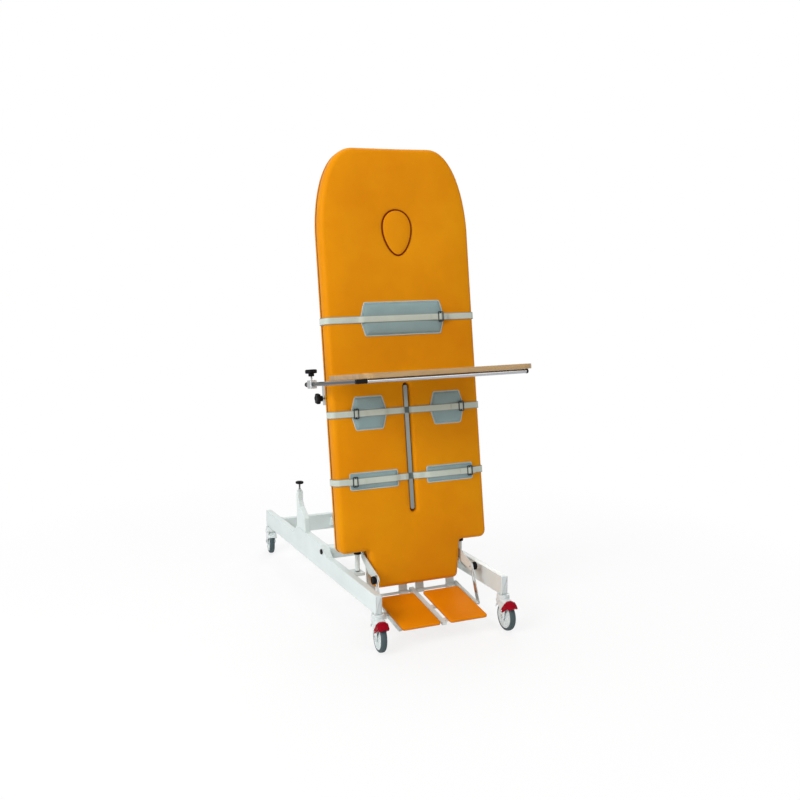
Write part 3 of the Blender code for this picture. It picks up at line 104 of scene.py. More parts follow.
class Finish:
    """A material with a few helpers for wiring its nodes."""

    def __init__(self, name, colour, roughness, metallic=0.0):
        self.material = bpy.data.materials.new(name)
        self.material.use_nodes = True
        self.nodes = self.material.node_tree.nodes
        self.links = self.material.node_tree.links
        self.shader = self.nodes["Principled BSDF"]
        self.shader.inputs["Base Color"].default_value = (*colour, 1)
        self.shader.inputs["Roughness"].default_value = roughness
        self.shader.inputs["Metallic"].default_value = metallic

    def set(self, **sockets):
        for name, value in sockets.items():
            self.shader.inputs[name.replace("_", " ")].default_value = value
        return self

    def place(self, source="Object", turn=(0, 0, 0)):
        coordinates = self.nodes.new("ShaderNodeTexCoord")
        mapping = self.nodes.new("ShaderNodeMapping")
        mapping.inputs["Rotation"].default_value = turn
        self.links.new(coordinates.outputs[source], mapping.inputs["Vector"])
        return mapping.outputs["Vector"]

    def effect(self, tree, where, **values):
        made = self.nodes.new("ShaderNodeGroup")
        made.node_tree = tree
        for name, value in values.items():
            made.inputs[name].default_value = value
        self.links.new(where, made.inputs["Vector"])
        return made

    def marks(self, blotch, speck):
        return self.effect(handling, self.place(), **{"Blotch Scale": blotch, "Speck Scale": speck})

    def blend(self, factor, low, high):
        mix = self.nodes.new("ShaderNodeMix")
        mix.data_type = "RGBA"
        for socket, value in (("A", low), ("B", high)):
            inputs = [i for i in mix.inputs if i.name == socket and i.type == "RGBA"]
            if isinstance(value, tuple):
                inputs[0].default_value = (*value, 1)
            else:
                self.links.new(value, inputs[0])
        self.links.new(factor, mix.inputs["Factor"])
        return [o for o in mix.outputs if o.type == "RGBA"][0]

    def spread(self, value, low, high, start=0.0, end=1.0):
        ramp = self.nodes.new("ShaderNodeMapRange")
        ramp.inputs["From Min"].default_value = start
        ramp.inputs["From Max"].default_value = end
        ramp.inputs["To Min"].default_value = low
        ramp.inputs["To Max"].default_value = high
        self.links.new(value, ramp.inputs["Value"])
        return ramp.outputs["Result"]

    def bump(self, height, depth, below=None):
        made = self.nodes.new("ShaderNodeBump")
        made.inputs["Distance"].default_value = depth
        self.links.new(height, made.inputs["Height"])
        if below:
            self.links.new(below, made.inputs["Normal"])
        return made.outputs["Normal"]

    def feed(self, socket, value):
        self.links.new(value, self.shader.inputs[socket])
        return self


def effect_tree(name, inputs, outputs):
    """An empty group of texture nodes with named values in and named values out."""
    tree = bpy.data.node_groups.new(name, "ShaderNodeTree")
    tree.interface.new_socket("Vector", in_out="INPUT", socket_type="NodeSocketVector")
    for socket, value in inputs.items():
        made = tree.interface.new_socket(socket, in_out="INPUT", socket_type="NodeSocketFloat")
        made.default_value = value
    for socket in outputs:
        tree.interface.new_socket(socket, in_out="OUTPUT", socket_type="NodeSocketFloat")
    return tree, tree.nodes.new("NodeGroupInput"), tree.nodes.new("NodeGroupOutput")


def put_out(tree, out, **values):
    """Links the values to the group's outputs and gives the group back."""
    for socket, value in values.items():
        tree.links.new(value, out.inputs[socket])
    return tree


def texture(tree, kind, source, scale, **settings):
    made = tree.nodes.new(kind)
    for key, value in settings.items():
        if key in made.inputs:
            made.inputs[key].default_value = value
        else:
            setattr(made, key, value)
    tree.links.new(source, made.inputs["Vector"])
    if scale is not None:
        tree.links.new(scale, made.inputs["Scale"])
    return made


def maths(tree, operation, first, second=None, third=None):
    made = tree.nodes.new("ShaderNodeMath")
    made.operation = operation
    for socket, value in zip(made.inputs, (first, second, third)):
        if value is None:
            continue
        if isinstance(value, (int, float)):
            socket.default_value = value
        else:
            tree.links.new(value, socket)
    return made.outputs[0]


def handling_effect():
    """Soft blotches and fine specks left by wiping and handling."""
    tree, given, out = effect_tree("handling", {"Blotch Scale": 6, "Speck Scale": 160}, ["Blotch", "Speck"])
    blotch = texture(tree, "ShaderNodeTexNoise", given.outputs["Vector"], given.outputs["Blotch Scale"],
                     Detail=4.0, Roughness=0.6)
    speck = texture(tree, "ShaderNodeTexNoise", given.outputs["Vector"], given.outputs["Speck Scale"],
                    Detail=2.0, Roughness=0.5)
    return put_out(tree, out, Blotch=blotch.outputs[0], Speck=speck.outputs[0])


def grain_effect():
    """Pebbled hide grain: small cells with soft creases between them."""
    scales = {"Cell Scale": 900, "Crease Scale": 40}
    tree, given, out = effect_tree("hide_grain", scales, ["Height", "Crease"])
    warp = texture(tree, "ShaderNodeTexNoise", given.outputs["Vector"], None, Scale=260.0, Detail=1.0)
    push = tree.nodes.new("ShaderNodeVectorMath")
    push.operation = "MULTIPLY_ADD"
    push.inputs[1].default_value = (0.0012, 0.0012, 0.0012)
    tree.links.new(warp.outputs[1], push.inputs[0])
    tree.links.new(given.outputs["Vector"], push.inputs[2])
    cells = texture(tree, "ShaderNodeTexVoronoi", push.outputs[0], given.outputs["Cell Scale"],
                    feature="DISTANCE_TO_EDGE")
    creases = texture(tree, "ShaderNodeTexNoise", given.outputs["Vector"], given.outputs["Crease Scale"],
                      Detail=3.0, Roughness=0.55)
    height = maths(tree, "POWER", cells.outputs["Distance"], 0.5)
    return put_out(tree, out, Height=height, Crease=creases.outputs[0])


def weave_effect():
    """Woven yarns from the piece's own unwrap, in metres: ribs across, cords along."""
    tree, given, out = effect_tree("weave", {"Rib": 0.0016, "Cord": 0.0022}, ["Height", "Tone"])
    split = tree.nodes.new("ShaderNodeSeparateXYZ")
    tree.links.new(given.outputs["Vector"], split.inputs[0])
    along = maths(tree, "DIVIDE", split.outputs[0], given.outputs["Rib"])
    across = maths(tree, "DIVIDE", split.outputs[1], given.outputs["Cord"])
    column = maths(tree, "MULTIPLY", maths(tree, "FLOOR", across, 0.0), 0.5)
    ribs = maths(tree, "SINE", maths(tree, "MULTIPLY", maths(tree, "ADD", along, column), 2 * pi), 0.0)
    cords = maths(tree, "SINE", maths(tree, "MULTIPLY", maths(tree, "FRACT", across, 0.0), pi), 0.0)
    height = maths(tree, "MULTIPLY", maths(tree, "MULTIPLY_ADD", ribs, 0.35, 0.65), cords)
    fuzz = texture(tree, "ShaderNodeTexNoise", given.outputs["Vector"], None, Scale=900.0, Detail=3.0)
    rough = maths(tree, "MULTIPLY_ADD", fuzz.outputs[0], 0.35, height)
    tone = maths(tree, "MULTIPLY_ADD", height, 0.6, maths(tree, "MULTIPLY", fuzz.outputs[0], 0.4))
    return put_out(tree, out, Height=rough, Tone=tone)


def brushing_effect():
    """Fine drawn lines along one axis of the place it is given."""
    tree, given, out = effect_tree("brushing", {"Line Scale": 900}, ["Line", "Smear"])
    stretch = tree.nodes.new("ShaderNodeMapping")
    stretch.inputs["Scale"].default_value = (1.0, 1.0, 0.02)
    tree.links.new(given.outputs["Vector"], stretch.inputs["Vector"])
    lines = texture(tree, "ShaderNodeTexNoise", stretch.outputs[0], given.outputs["Line Scale"], Detail=4.0)
    smear = texture(tree, "ShaderNodeTexNoise", given.outputs["Vector"], None, Scale=14.0, Detail=3.0)
    return put_out(tree, out, Line=lines.outputs[0], Smear=smear.outputs[0])


def timber_effect():
    """Long growth lines along X with short dark flecks, as on rotary-cut beech."""
    tree, given, out = effect_tree("timber", {"Ring Scale": 22, "Fleck Scale": 260}, ["Ring", "Fleck"])
    stretch = tree.nodes.new("ShaderNodeMapping")
    stretch.inputs["Scale"].default_value = (0.06, 1.0, 1.0)
    tree.links.new(given.outputs["Vector"], stretch.inputs["Vector"])
    rings = texture(tree, "ShaderNodeTexNoise", stretch.outputs[0], given.outputs["Ring Scale"],
                    Detail=6.0, Roughness=0.65, Distortion=0.6)
    flecks = texture(tree, "ShaderNodeTexNoise", stretch.outputs[0], given.outputs["Fleck Scale"],
                     Detail=2.0, Roughness=0.7)
    return put_out(tree, out, Ring=rings.outputs[0], Fleck=flecks.outputs[0])


handling = handling_effect()
hide_grain = grain_effect()
weave = weave_effect()
brushing = brushing_effect()
timber = timber_effect()


def darker(colour, share):
    return tuple(c * share for c in colour)


def painted(name, colour, roughness, gloss):
    """Powder coat: faint orange peel, a little uneven in tone and gloss."""
    f = Finish(name, colour, roughness).set(Coat_Weight=gloss, Coat_Roughness=0.25)
    marks = f.marks(5.0, 420.0)
    uneven = f.spread(marks.outputs["Blotch"], 0.0, 1.0, 0.35, 0.70)
    f.feed("Base Color", f.blend(uneven, colour, darker(colour, 0.93)))
    f.feed("Roughness", f.spread(marks.outputs["Blotch"], roughness - 0.05, roughness + 0.08, 0.3, 0.7))
    f.feed("Normal", f.bump(marks.outputs["Speck"], 0.00012))
    return f.material


def vinyl(name, colour, deep):
    """Upholstery vinyl with a pebbled grain and a soft sheen."""
    f = Finish(name, colour, 0.42).set(Specular_IOR_Level=0.06)
    grain = f.effect(hide_grain, f.place(), **{"Cell Scale": 620.0, "Crease Scale": 7.0})
    marks = f.marks(2.6, 300.0)
    tone = f.blend(f.spread(marks.outputs["Blotch"], 0.0, 0.90, 0.36, 0.70), colour, deep)
    f.feed("Base Color", tone)
    f.feed("Roughness", f.spread(grain.outputs["Height"], 0.50, 0.36, 0.1, 0.8))
    soft = f.bump(grain.outputs["Crease"], 0.0016)
    f.feed("Normal", f.bump(grain.outputs["Height"], 0.00010, soft))
    return f.material


def cloth(name, colour, deep, rib, cord, depth=0.00035, edge=0.0):
    """Woven stuff in two tones, darkened along both edges of the web where an edge distance is given."""
    f = Finish(name, colour, 0.85).set(Sheen_Weight=0.25, Sheen_Roughness=0.5)
    yarns = f.effect(weave, f.place("UV"), Rib=rib, Cord=cord)
    marks = f.marks(9.0, 300.0)
    worn = f.blend(f.spread(marks.outputs["Blotch"], 0.0, 0.5, 0.4, 0.75), colour, deep)
    woven = f.blend(f.spread(yarns.outputs["Tone"], 0.8, 0.0, 0.15, 0.75), worn, deep)
    if edge:
        split = f.nodes.new("ShaderNodeSeparateXYZ")
        f.links.new(f.place("UV"), split.inputs[0])
        outer = f.spread(maths(f, "ABSOLUTE", split.outputs[1]), 0.0, 0.75, edge - 0.0012, edge)
        woven = f.blend(outer, woven, darker(deep, 0.35))
    f.feed("Base Color", woven)
    f.feed("Roughness", f.spread(yarns.outputs["Tone"], 0.95, 0.72))
    f.feed("Normal", f.bump(yarns.outputs["Height"], depth))
    return f.material


def bright_metal(name, colour, roughness, line_scale, turn=(0, 0, 0)):
    """Drawn or plated metal with fine lines and smears."""
    f = Finish(name, colour, roughness, 1.0)
    lines = f.effect(brushing, f.place(turn=turn), **{"Line Scale": line_scale})
    f.feed("Roughness", f.spread(lines.outputs["Smear"], roughness * 0.75, roughness * 1.35, 0.3, 0.7))
    drawn = f.spread(lines.outputs["Line"], 0.0, 0.5, 0.4, 0.8)
    f.feed("Base Color", f.blend(drawn, colour, darker(colour, 0.82)))
    f.feed("Normal", f.bump(lines.outputs["Line"], 0.00003))
    return f.material


def moulded(name, colour, roughness, speck=520.0, depth=0.00009, gloss=0.5):
    """Moulded plastic or rubber with a fine spark-eroded texture."""
    f = Finish(name, colour, roughness).set(Specular_IOR_Level=gloss)
    marks = f.marks(18.0, speck)
    uneven = f.spread(marks.outputs["Blotch"], 0.0, 0.6, 0.35, 0.75)
    f.feed("Base Color", f.blend(uneven, colour, darker(colour, 0.80)))
    f.feed("Roughness", f.spread(marks.outputs["Speck"], roughness - 0.07, roughness + 0.07, 0.3, 0.7))
    f.feed("Normal", f.bump(marks.outputs["Speck"], depth))
    return f.material


def beech(name, pale, dark):
    """Lacquered timber whose growth lines follow the bed."""
    f = Finish(name, pale, 0.42).set(Coat_Weight=0.35, Coat_Roughness=0.18)
    lines = f.effect(timber, f.place(turn=(LEAN, 0, 0)), **{"Ring Scale": 30.0, "Fleck Scale": 420.0})
    tone = f.blend(f.spread(lines.outputs["Ring"], 0.0, 1.0, 0.35, 0.68), pale, dark)
    speckled = f.blend(f.spread(lines.outputs["Fleck"], 0.0, 0.55, 0.55, 0.75), tone, darker(dark, 0.6))
    f.feed("Base Color", speckled)
    f.feed("Roughness", f.spread(lines.outputs["Fleck"], 0.36, 0.52, 0.3, 0.7))
    f.feed("Normal", f.bump(lines.outputs["Fleck"], 0.00006))
    return f.material


white_paint = painted("white_powder_coat", (0.72, 0.80, 0.79), 0.40, 0.15)
# A slightly darker copy of the white coat: painted shade for the weld beads in the frame's corners; the front
# stops' sleeves wear it too.
shade_paint = painted("white_coat_painted_shade", (0.68, 0.76, 0.75), 0.45, 0.1)
orange_vinyl = vinyl("orange_vinyl", (0.750, 0.285, 0.002), (0.680, 0.225, 0.001))
# The foot plates' vinyl is the cushion's orange made brighter: painted light, standing in for the stronger
# light on the plates.
plate_vinyl_painted_light = vinyl("orange_vinyl_painted_light", (0.860, 0.270, 0.002), (0.800, 0.220, 0.001))
# The welt round the face hole is the orange vinyl made dark red-brown: painted shade of the seam's groove.
seam_vinyl_painted_shade = vinyl("orange_vinyl_painted_seam_shade", (0.170, 0.012, 0.002), (0.100, 0.006, 0.001))
webbing_cloth = cloth("grey_green_webbing", (0.62, 0.675, 0.585), (0.44, 0.49, 0.44), 0.0020, 0.0028,
                      edge=0.0130)
# The loops round the leg bar are the same webbing darkened: painted shade from the slot they lie in.
loop_cloth_painted_shade = cloth("loop_webbing_painted_shade", (0.16, 0.22, 0.21), (0.08, 0.12, 0.12), 0.0020, 0.0028)
pad_cloth = cloth("blue_grey_pad_cloth", (0.295, 0.415, 0.425), (0.205, 0.300, 0.310), 0.0011, 0.0011,
                  0.00018)
piping_cloth = cloth("pale_piping_cloth", (0.50, 0.60, 0.59), (0.38, 0.47, 0.47), 0.0010, 0.0010, 0.0001)
thread_finish = moulded("dark_thread", (0.085, 0.105, 0.110), 0.75, 900.0, 0.00004)
plug_thread = moulded("orange_thread", (0.42, 0.10, 0.004), 0.7, 900.0, 0.00004)
strap_steel = bright_metal("strap_bar_steel", (0.265, 0.285, 0.270), 0.36, 700.0, (LEAN, 0, 0))
buckle_steel = bright_metal("buckle_steel", (0.045, 0.050, 0.055), 0.34, 700.0)
rail_chrome = bright_metal("rail_chrome", (0.47, 0.48, 0.50), 0.12, 400.0)
# The side arm's chrome is made near black: painted reflection, standing in for the dark surroundings it
# mirrors.
arm_chrome_painted_reflection = bright_metal("side_arm_chrome_painted_dark_reflection", (0.060, 0.060, 0.065), 0.14, 400.0)
zinc_steel = bright_metal("zinc_steel", (0.58, 0.60, 0.60), 0.30, 800.0)
screw_steel = bright_metal("screw_steel", (0.48, 0.49, 0.49), 0.35, 1200.0)
black_plastic = moulded("black_knob_plastic", (0.003, 0.003, 0.004), 0.50, 520.0, 0.00008, 0.15)
black_rubber = moulded("black_buffer_rubber", (0.004, 0.004, 0.005), 0.75, 420.0, 0.00016, 0.15)
hub_plastic = moulded("white_hub_plastic", (0.70, 0.76, 0.76), 0.40)
fork_plastic = moulded("white_fork_plastic", (0.74, 0.79, 0.79), 0.36)
tyre_rubber = moulded("grey_tyre_rubber", (0.050, 0.080, 0.088), 0.62, 380.0, 0.00014)
pedal_plastic = moulded("red_pedal_plastic", (0.34, 0.002, 0.013), 0.50, 520.0, 0.00006, 0.05)
drive_plastic = moulded("grey_drive_plastic", (0.20, 0.215, 0.225), 0.48)
board_timber = beech("board_beech", (0.51, 0.325, 0.140), (0.36, 0.215, 0.085))
panel_timber = beech("panel_beech", (0.53, 0.37, 0.22), (0.42, 0.28, 0.16))

def both(*names):
    """The left and the right one of each named pair."""
    return [name + "_" + word for name in names for word in ("left", "right")]


CARRIED = (
    (white_paint, both("base_beam", "rear_post", "bed_rail")
     + ["rear_cross_member", "mid_cross_member", "lower_cross_tube", "upper_cross_tube", "pivot_cross_tube",
        "foot_hanger", "foot_frame"]),
    (zinc_steel, both("foot_strut") + ["tilt_shaft", "side_rail", "tray_clamp", "actuator_rod"]),
    (black_rubber, both("front_buffer", "rear_buffer")),
    (black_plastic, both("cross_bolt_cap") + ["rail_corner"]),
    (fork_plastic, both("castor_fork_front", "castor_fork_rear")),
    (drive_plastic, ["actuator_body"]),
    (strap_steel, ["leg_strap_bar"]),
    # The side arm wears the near-black chrome: painted dark reflection.
    (arm_chrome_painted_reflection, ["side_arm"]),
    (rail_chrome, ["front_rail"]),
    (board_timber, ["work_board"]),
    (panel_timber, ["bed_board"]),
)


def dress_frame():
    """Gives the pieces of the frame that stay in view their finish."""
    for finish, names in CARRIED:
        for name in names:
            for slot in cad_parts[name].material_slots:
                slot.material = finish


# Shape helpers

def middle_of(node):
    low, high = (Vector(corner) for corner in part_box(node))
    return (low + high) / 2


def finished(name, bm, finish, body, replaces=(), smooth=40, place=None):
    """A mesh made into a piece: its place goes into the mesh, and it rides on a body."""
    bmesh.ops.recalc_face_normals(bm, faces=bm.faces)
    if place is not None:
        bm.transform(place)
    mesh = bpy.data.meshes.new(name)
    bm.to_mesh(mesh)
    bm.free()
    obj = bpy.data.objects.new(name, mesh)
    bpy.context.collection.objects.link(obj)
    mesh.materials.append(finish)
    mesh.shade_smooth()
    mesh.set_sharp_from_angle(angle=radians(smooth))
    return joined_to(obj, body, replaces)


def joined_to(obj, body, replaces=()):
    """Makes a piece ride on a body, and stand for the named pieces of the frame."""
    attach(obj, body)
    if replaces:
        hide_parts(*replaces)
    return obj


def arc(radius, start, end, count, centre=(0, 0)):
    """Points along a round stretch, both ends included."""
    return [(centre[0] + radius * cos(start + (end - start) * i / (count - 1)),
             centre[1] + radius * sin(start + (end - start) * i / (count - 1))) for i in range(count)]


def rectangle(half_x, half_y):
    return [(half_x, half_y), (-half_x, half_y), (-half_x, -half_y), (half_x, -half_y)]


def rounded(points, radius, steps):
    """A polygon with each corner cut to a curve that touches both its sides."""
    out = []
    for i, point in enumerate(points):
        corner = Vector(point)
        before = (Vector(points[i - 1]) - corner).normalized()
        after = (Vector(points[(i + 1) % len(points)]) - corner).normalized()
        half = acos(max(-1.0, min(1.0, before.dot(after)))) / 2
        reach = radius / max(sin(half), 1e-6) * cos(half)
        start = corner + before * reach
        end = corner + after * reach
        for k in range(steps + 1):
            u = k / steps
            out.append(tuple(start * (1 - u) ** 2 + corner * 2 * u * (1 - u) + end * u * u))
    return out


def resampled(loop, spacing):
    """A closed loop with points at an even spacing."""
    points = np.array(list(loop) + [loop[0]])
    lengths = np.concatenate([[0], np.cumsum(np.linalg.norm(np.diff(points, axis=0), axis=1))])
    count = max(8, int(round(lengths[-1] / spacing)))
    marks = np.linspace(0, lengths[-1], count, endpoint=False)
    return np.stack([np.interp(marks, lengths, points[:, k]) for k in (0, 1)], axis=1)


def moved_in(loop, distance):
    """A counter-clockwise loop moved inwards along its normals."""
    before = loop - np.roll(loop, 1, axis=0)
    after = np.roll(loop, -1, axis=0) - loop
    normals = []
    for edge in (before, after):
        size = np.linalg.norm(edge, axis=1, keepdims=True)
        normals.append(np.stack([-edge[:, 1], edge[:, 0]], axis=1) / size)
    middle = normals[0] + normals[1]
    middle /= np.linalg.norm(middle, axis=1, keepdims=True)
    spread = np.clip((middle * normals[0]).sum(axis=1, keepdims=True), 0.5, 1.0)
    return loop + middle * distance / spread


def away_from(points, loop):
    """Distance of each point from the nearest stretch of a closed loop."""
    best = np.full(len(points), 1e9)
    for start, end in zip(loop, np.roll(loop, -1, axis=0)):
        edge = end - start
        share = np.clip(((points - start) @ edge) / max(edge @ edge, 1e-12), 0, 1)
        gap = points - start - share[:, None] * edge
        best = np.minimum(best, np.hypot(gap[:, 0], gap[:, 1]))
    return best


def inside(points, loop):
    """Which points lie within a closed loop."""
    hits = np.zeros(len(points), bool)
    for start, end in zip(loop, np.roll(loop, -1, axis=0)):
        crosses = (start[1] > points[:, 1]) != (end[1] > points[:, 1])
        with np.errstate(divide="ignore", invalid="ignore"):
            at = start[0] + (points[:, 1] - start[1]) * (end[0] - start[0]) / (end[1] - start[1])
        hits ^= crosses & (points[:, 0] < at)
    return hits


def cushion_mesh(outline, openings, insets, opening_insets, grid, front, back, wall_levels):
    """A closed cushion. front gives the face's t at each (x, s); walls run back through the given levels.

    A wall level is a pair of t and the distance that the wall stands in from the outline there.
    """
    rings = [moved_in(outline, d) for d in insets]
    rings += [moved_in(loop, -d) for loop in openings for d in opening_insets]
    low, high = outline.min(axis=0), outline.max(axis=0)
    xs = np.arange(low[0] + grid / 2, high[0], grid)
    ys = np.arange(low[1] + grid / 2, high[1], grid * 0.866)
    spots = np.array([(x + grid / 2 * (row % 2), y) for row, y in enumerate(ys) for x in xs])
    keep = inside(spots, outline) & (away_from(spots, outline) > insets[-1] + grid * 0.5)
    for loop in openings:
        keep &= ~inside(spots, loop) & (away_from(spots, loop) > opening_insets[-1] + grid * 0.5)
    places = [Vector(p) for p in spots[keep]]
    edges = []
    for ring in rings:
        first = len(places)
        places += [Vector(p) for p in ring]
        edges += [(first + i, first + (i + 1) % len(ring)) for i in range(len(ring))]
    verts, _, faces, _, _, _ = delaunay_2d_cdt(places, edges, [], 0, 1e-7)
    flat = np.array([tuple(v) for v in verts])
    middles = np.array([flat[list(face)].mean(axis=0) for face in faces])
    solid = inside(middles, outline)
    for loop in openings:
        solid &= ~inside(middles, loop)
    faces = [face for face, keep_it in zip(faces, solid) if keep_it]
    used = sorted({i for face in faces for i in face})
    number = {old: new for new, old in enumerate(used)}
    flat = flat[used]
    levels = front(flat)
    bm = bmesh.new()
    top = [bm.verts.new((x, s, t)) for (x, s), t in zip(flat, levels)]
    bottom = [bm.verts.new((x, s, back)) for x, s in flat]
    counts = {}
    for face in faces:
        a, b, c = (number[i] for i in face)
        bm.faces.new((top[a], top[b], top[c]))
        bm.faces.new((bottom[c], bottom[b], bottom[a]))
        for pair in ((a, b), (b, c), (c, a)):
            counts[pair] = counts.get(pair, 0) + 1
    rim = [pair for pair in counts if (pair[1], pair[0]) not in counts]
    following = dict(rim)
    leading = {end: start for start, end in rim}
    walls = {}
    for i in following:
        ahead = flat[following[i]] - flat[i]
        behind = flat[i] - flat[leading[i]]
        heading = ahead / max(np.linalg.norm(ahead), 1e-9) + behind / max(np.linalg.norm(behind), 1e-9)
        heading /= max(np.linalg.norm(heading), 1e-9)
        inward = np.array((-heading[1], heading[0]))
        column = [top[i]]
        for level, stand in wall_levels:
            x, s = flat[i] + inward * stand
            column.append(bm.verts.new((x, s, level)))
        bottom[i].co.x, bottom[i].co.y = column[-1].co.x, column[-1].co.y
        walls[i] = column + [bottom[i]]
    for start, end in rim:
        for a, b, c, d in zip(walls[start], walls[end], walls[end][1:], walls[start][1:]):
            bm.faces.new((b, a, d, c))
    return bm


def unwrap_flat(bm):
    """UV in metres straight from x and s, before the piece is put in place."""
    layer = bm.loops.layers.uv.new("UVMap")
    for face in bm.faces:
        for loop in face.loops:
            loop[layer].uv = (loop.vert.co.x, loop.vert.co.y)


def puffed(obj, cap, press, pressure, frames):
    """Cloth pressed out from within, its swelling scaled down to a cap, then held by press."""
    mesh = obj.data
    start = np.empty(len(mesh.vertices) * 3)
    mesh.vertices.foreach_get("co", start)
    start = start.reshape(-1, 3)
    end = start.copy()
    swell = obj.modifiers.new("swell", "CLOTH")
    settings = swell.settings
    settings.quality = 4
    settings.use_pressure = True
    settings.uniform_pressure_force = pressure
    settings.effector_weights.gravity = 0
    settings.tension_stiffness = 15
    settings.compression_stiffness = 15
    settings.bending_stiffness = 2
    swell.collision_settings.use_collision = False
    scene = bpy.context.scene
    for number in range(1, frames + 1):
        scene.frame_set(number)
    shown = obj.evaluated_get(bpy.context.evaluated_depsgraph_get())
    end = np.empty(len(mesh.vertices) * 3)
    shown.data.vertices.foreach_get("co", end)
    end = end.reshape(-1, 3)
    obj.modifiers.clear()
    scene.frame_set(1)
    shift = end - start
    longest = np.linalg.norm(shift, axis=1).max()
    if longest > 0:
        shift *= min(1.0, cap / longest)
    mesh.vertices.foreach_set("co", press(start, shift).ravel())
    mesh.update()


def settle(obj, place):
    """Puts the placement into the mesh once any simulation is done."""
    obj.data.transform(place)
    obj.data.update()


def bridged(bm, rings, capped=False):
    """Faces between each loop of points and the next, and over both ends where they are capped."""
    for lower, upper in zip(rings, rings[1:]):
        for i in range(len(lower)):
            j = (i + 1) % len(lower)
            bm.faces.new((lower[i], lower[j], upper[j], upper[i]))
    if capped:
        bm.faces.new(list(reversed(rings[0])))
        bm.faces.new(rings[-1])


def swept(points, section, closed=False, reference=Vector((0, 0, 1))):
    """A section of (across, up) pairs carried along a path; across is square to the reference."""
    bm = bmesh.new()
    layer = bm.loops.layers.uv.new("UVMap")
    rings = []
    lengths = [0.0]
    count = len(points)
    for i, point in enumerate(points):
        ahead = Vector(points[(i + 1) % count]) if closed or i + 1 < count else Vector(point)
        behind = Vector(points[i - 1]) if closed or i else Vector(point)
        heading = (ahead - behind).normalized()
        side = heading.cross(reference).normalized()
        lift = side.cross(heading)
        rings.append([bm.verts.new(Vector(point) + side * a + lift * b) for a, b in section])
        if i:
            lengths.append(lengths[-1] + (Vector(point) - Vector(points[i - 1])).length)
    size = len(section)
    around = [0.0]
    for a, b in zip(section, section[1:] + section[:1]):
        around.append(around[-1] + sqrt((a[0] - b[0]) ** 2 + (a[1] - b[1]) ** 2))
    for i in range(count if closed else count - 1):
        j = (i + 1) % count
        far = lengths[j] if j else lengths[-1] + (Vector(points[0]) - Vector(points[-1])).length
        for k in range(size):
            m = (k + 1) % size
            face = bm.faces.new((rings[i][k], rings[i][m], rings[j][m], rings[j][k]))
            for loop, uv in zip(face.loops, ((lengths[i], around[k]), (lengths[i], around[k + 1]),
                                             (far, around[k + 1]), (far, around[k]))):
                loop[layer].uv = uv
    if not closed:
        bm.faces.new(list(reversed(rings[0])))
        bm.faces.new(rings[-1])
    return bm


LOBE_SHARPNESS = 1.6


def circle_section(radius, count):
    return [(radius * cos(2 * pi * i / count), radius * sin(2 * pi * i / count)) for i in range(count)]


def lathe(profile, count, lobes=0, depth=0.0):
    """Profile of (radius, height) pairs turned round Z; lobes scallop the rings by depth."""
    bm = bmesh.new()
    rings = []
    for radius, height, *wave in profile:
        if radius <= 0:
            rings.append([bm.verts.new((0, 0, height))])
            continue
        ring = []
        for i in range(count):
            angle = 2 * pi * i / count
            dip = (0.5 - 0.5 * cos(lobes * angle)) ** LOBE_SHARPNESS * depth * (wave[0] if wave else 0.0)
            ring.append(bm.verts.new(((radius - dip) * cos(angle), (radius - dip) * sin(angle), height)))
        rings.append(ring)
    for lower, upper in zip(rings, rings[1:]):
        for i in range(count):
            j = (i + 1) % count
            if len(lower) == 1 and len(upper) > 1:
                bm.faces.new((lower[0], upper[i], upper[j]))
            elif len(upper) == 1 and len(lower) > 1:
                bm.faces.new((lower[i], lower[j], upper[0]))
            elif len(lower) > 1:
                bm.faces.new((lower[i], lower[j], upper[j], upper[i]))
    if profile[0] == profile[-1]:
        bmesh.ops.remove_doubles(bm, verts=bm.verts, dist=1e-7)
    return bm


def facing(point, axis, across=Vector((1, 0, 0))):
    """Placement that stands local Z along an axis at a point."""
    up = Vector(axis).normalized()
    if abs(up.dot(across)) > 0.95:
        across = Vector((0, 1, 0))
    side = (across - up * across.dot(up)).normalized()
    third = up.cross(side)
    return Matrix.Translation(point) @ Matrix((side, third, up)).transposed().to_4x4()


def bed_point(x, s, t):
    return BED @ Vector((x, s, t))


# Repeats, made with geometry nodes

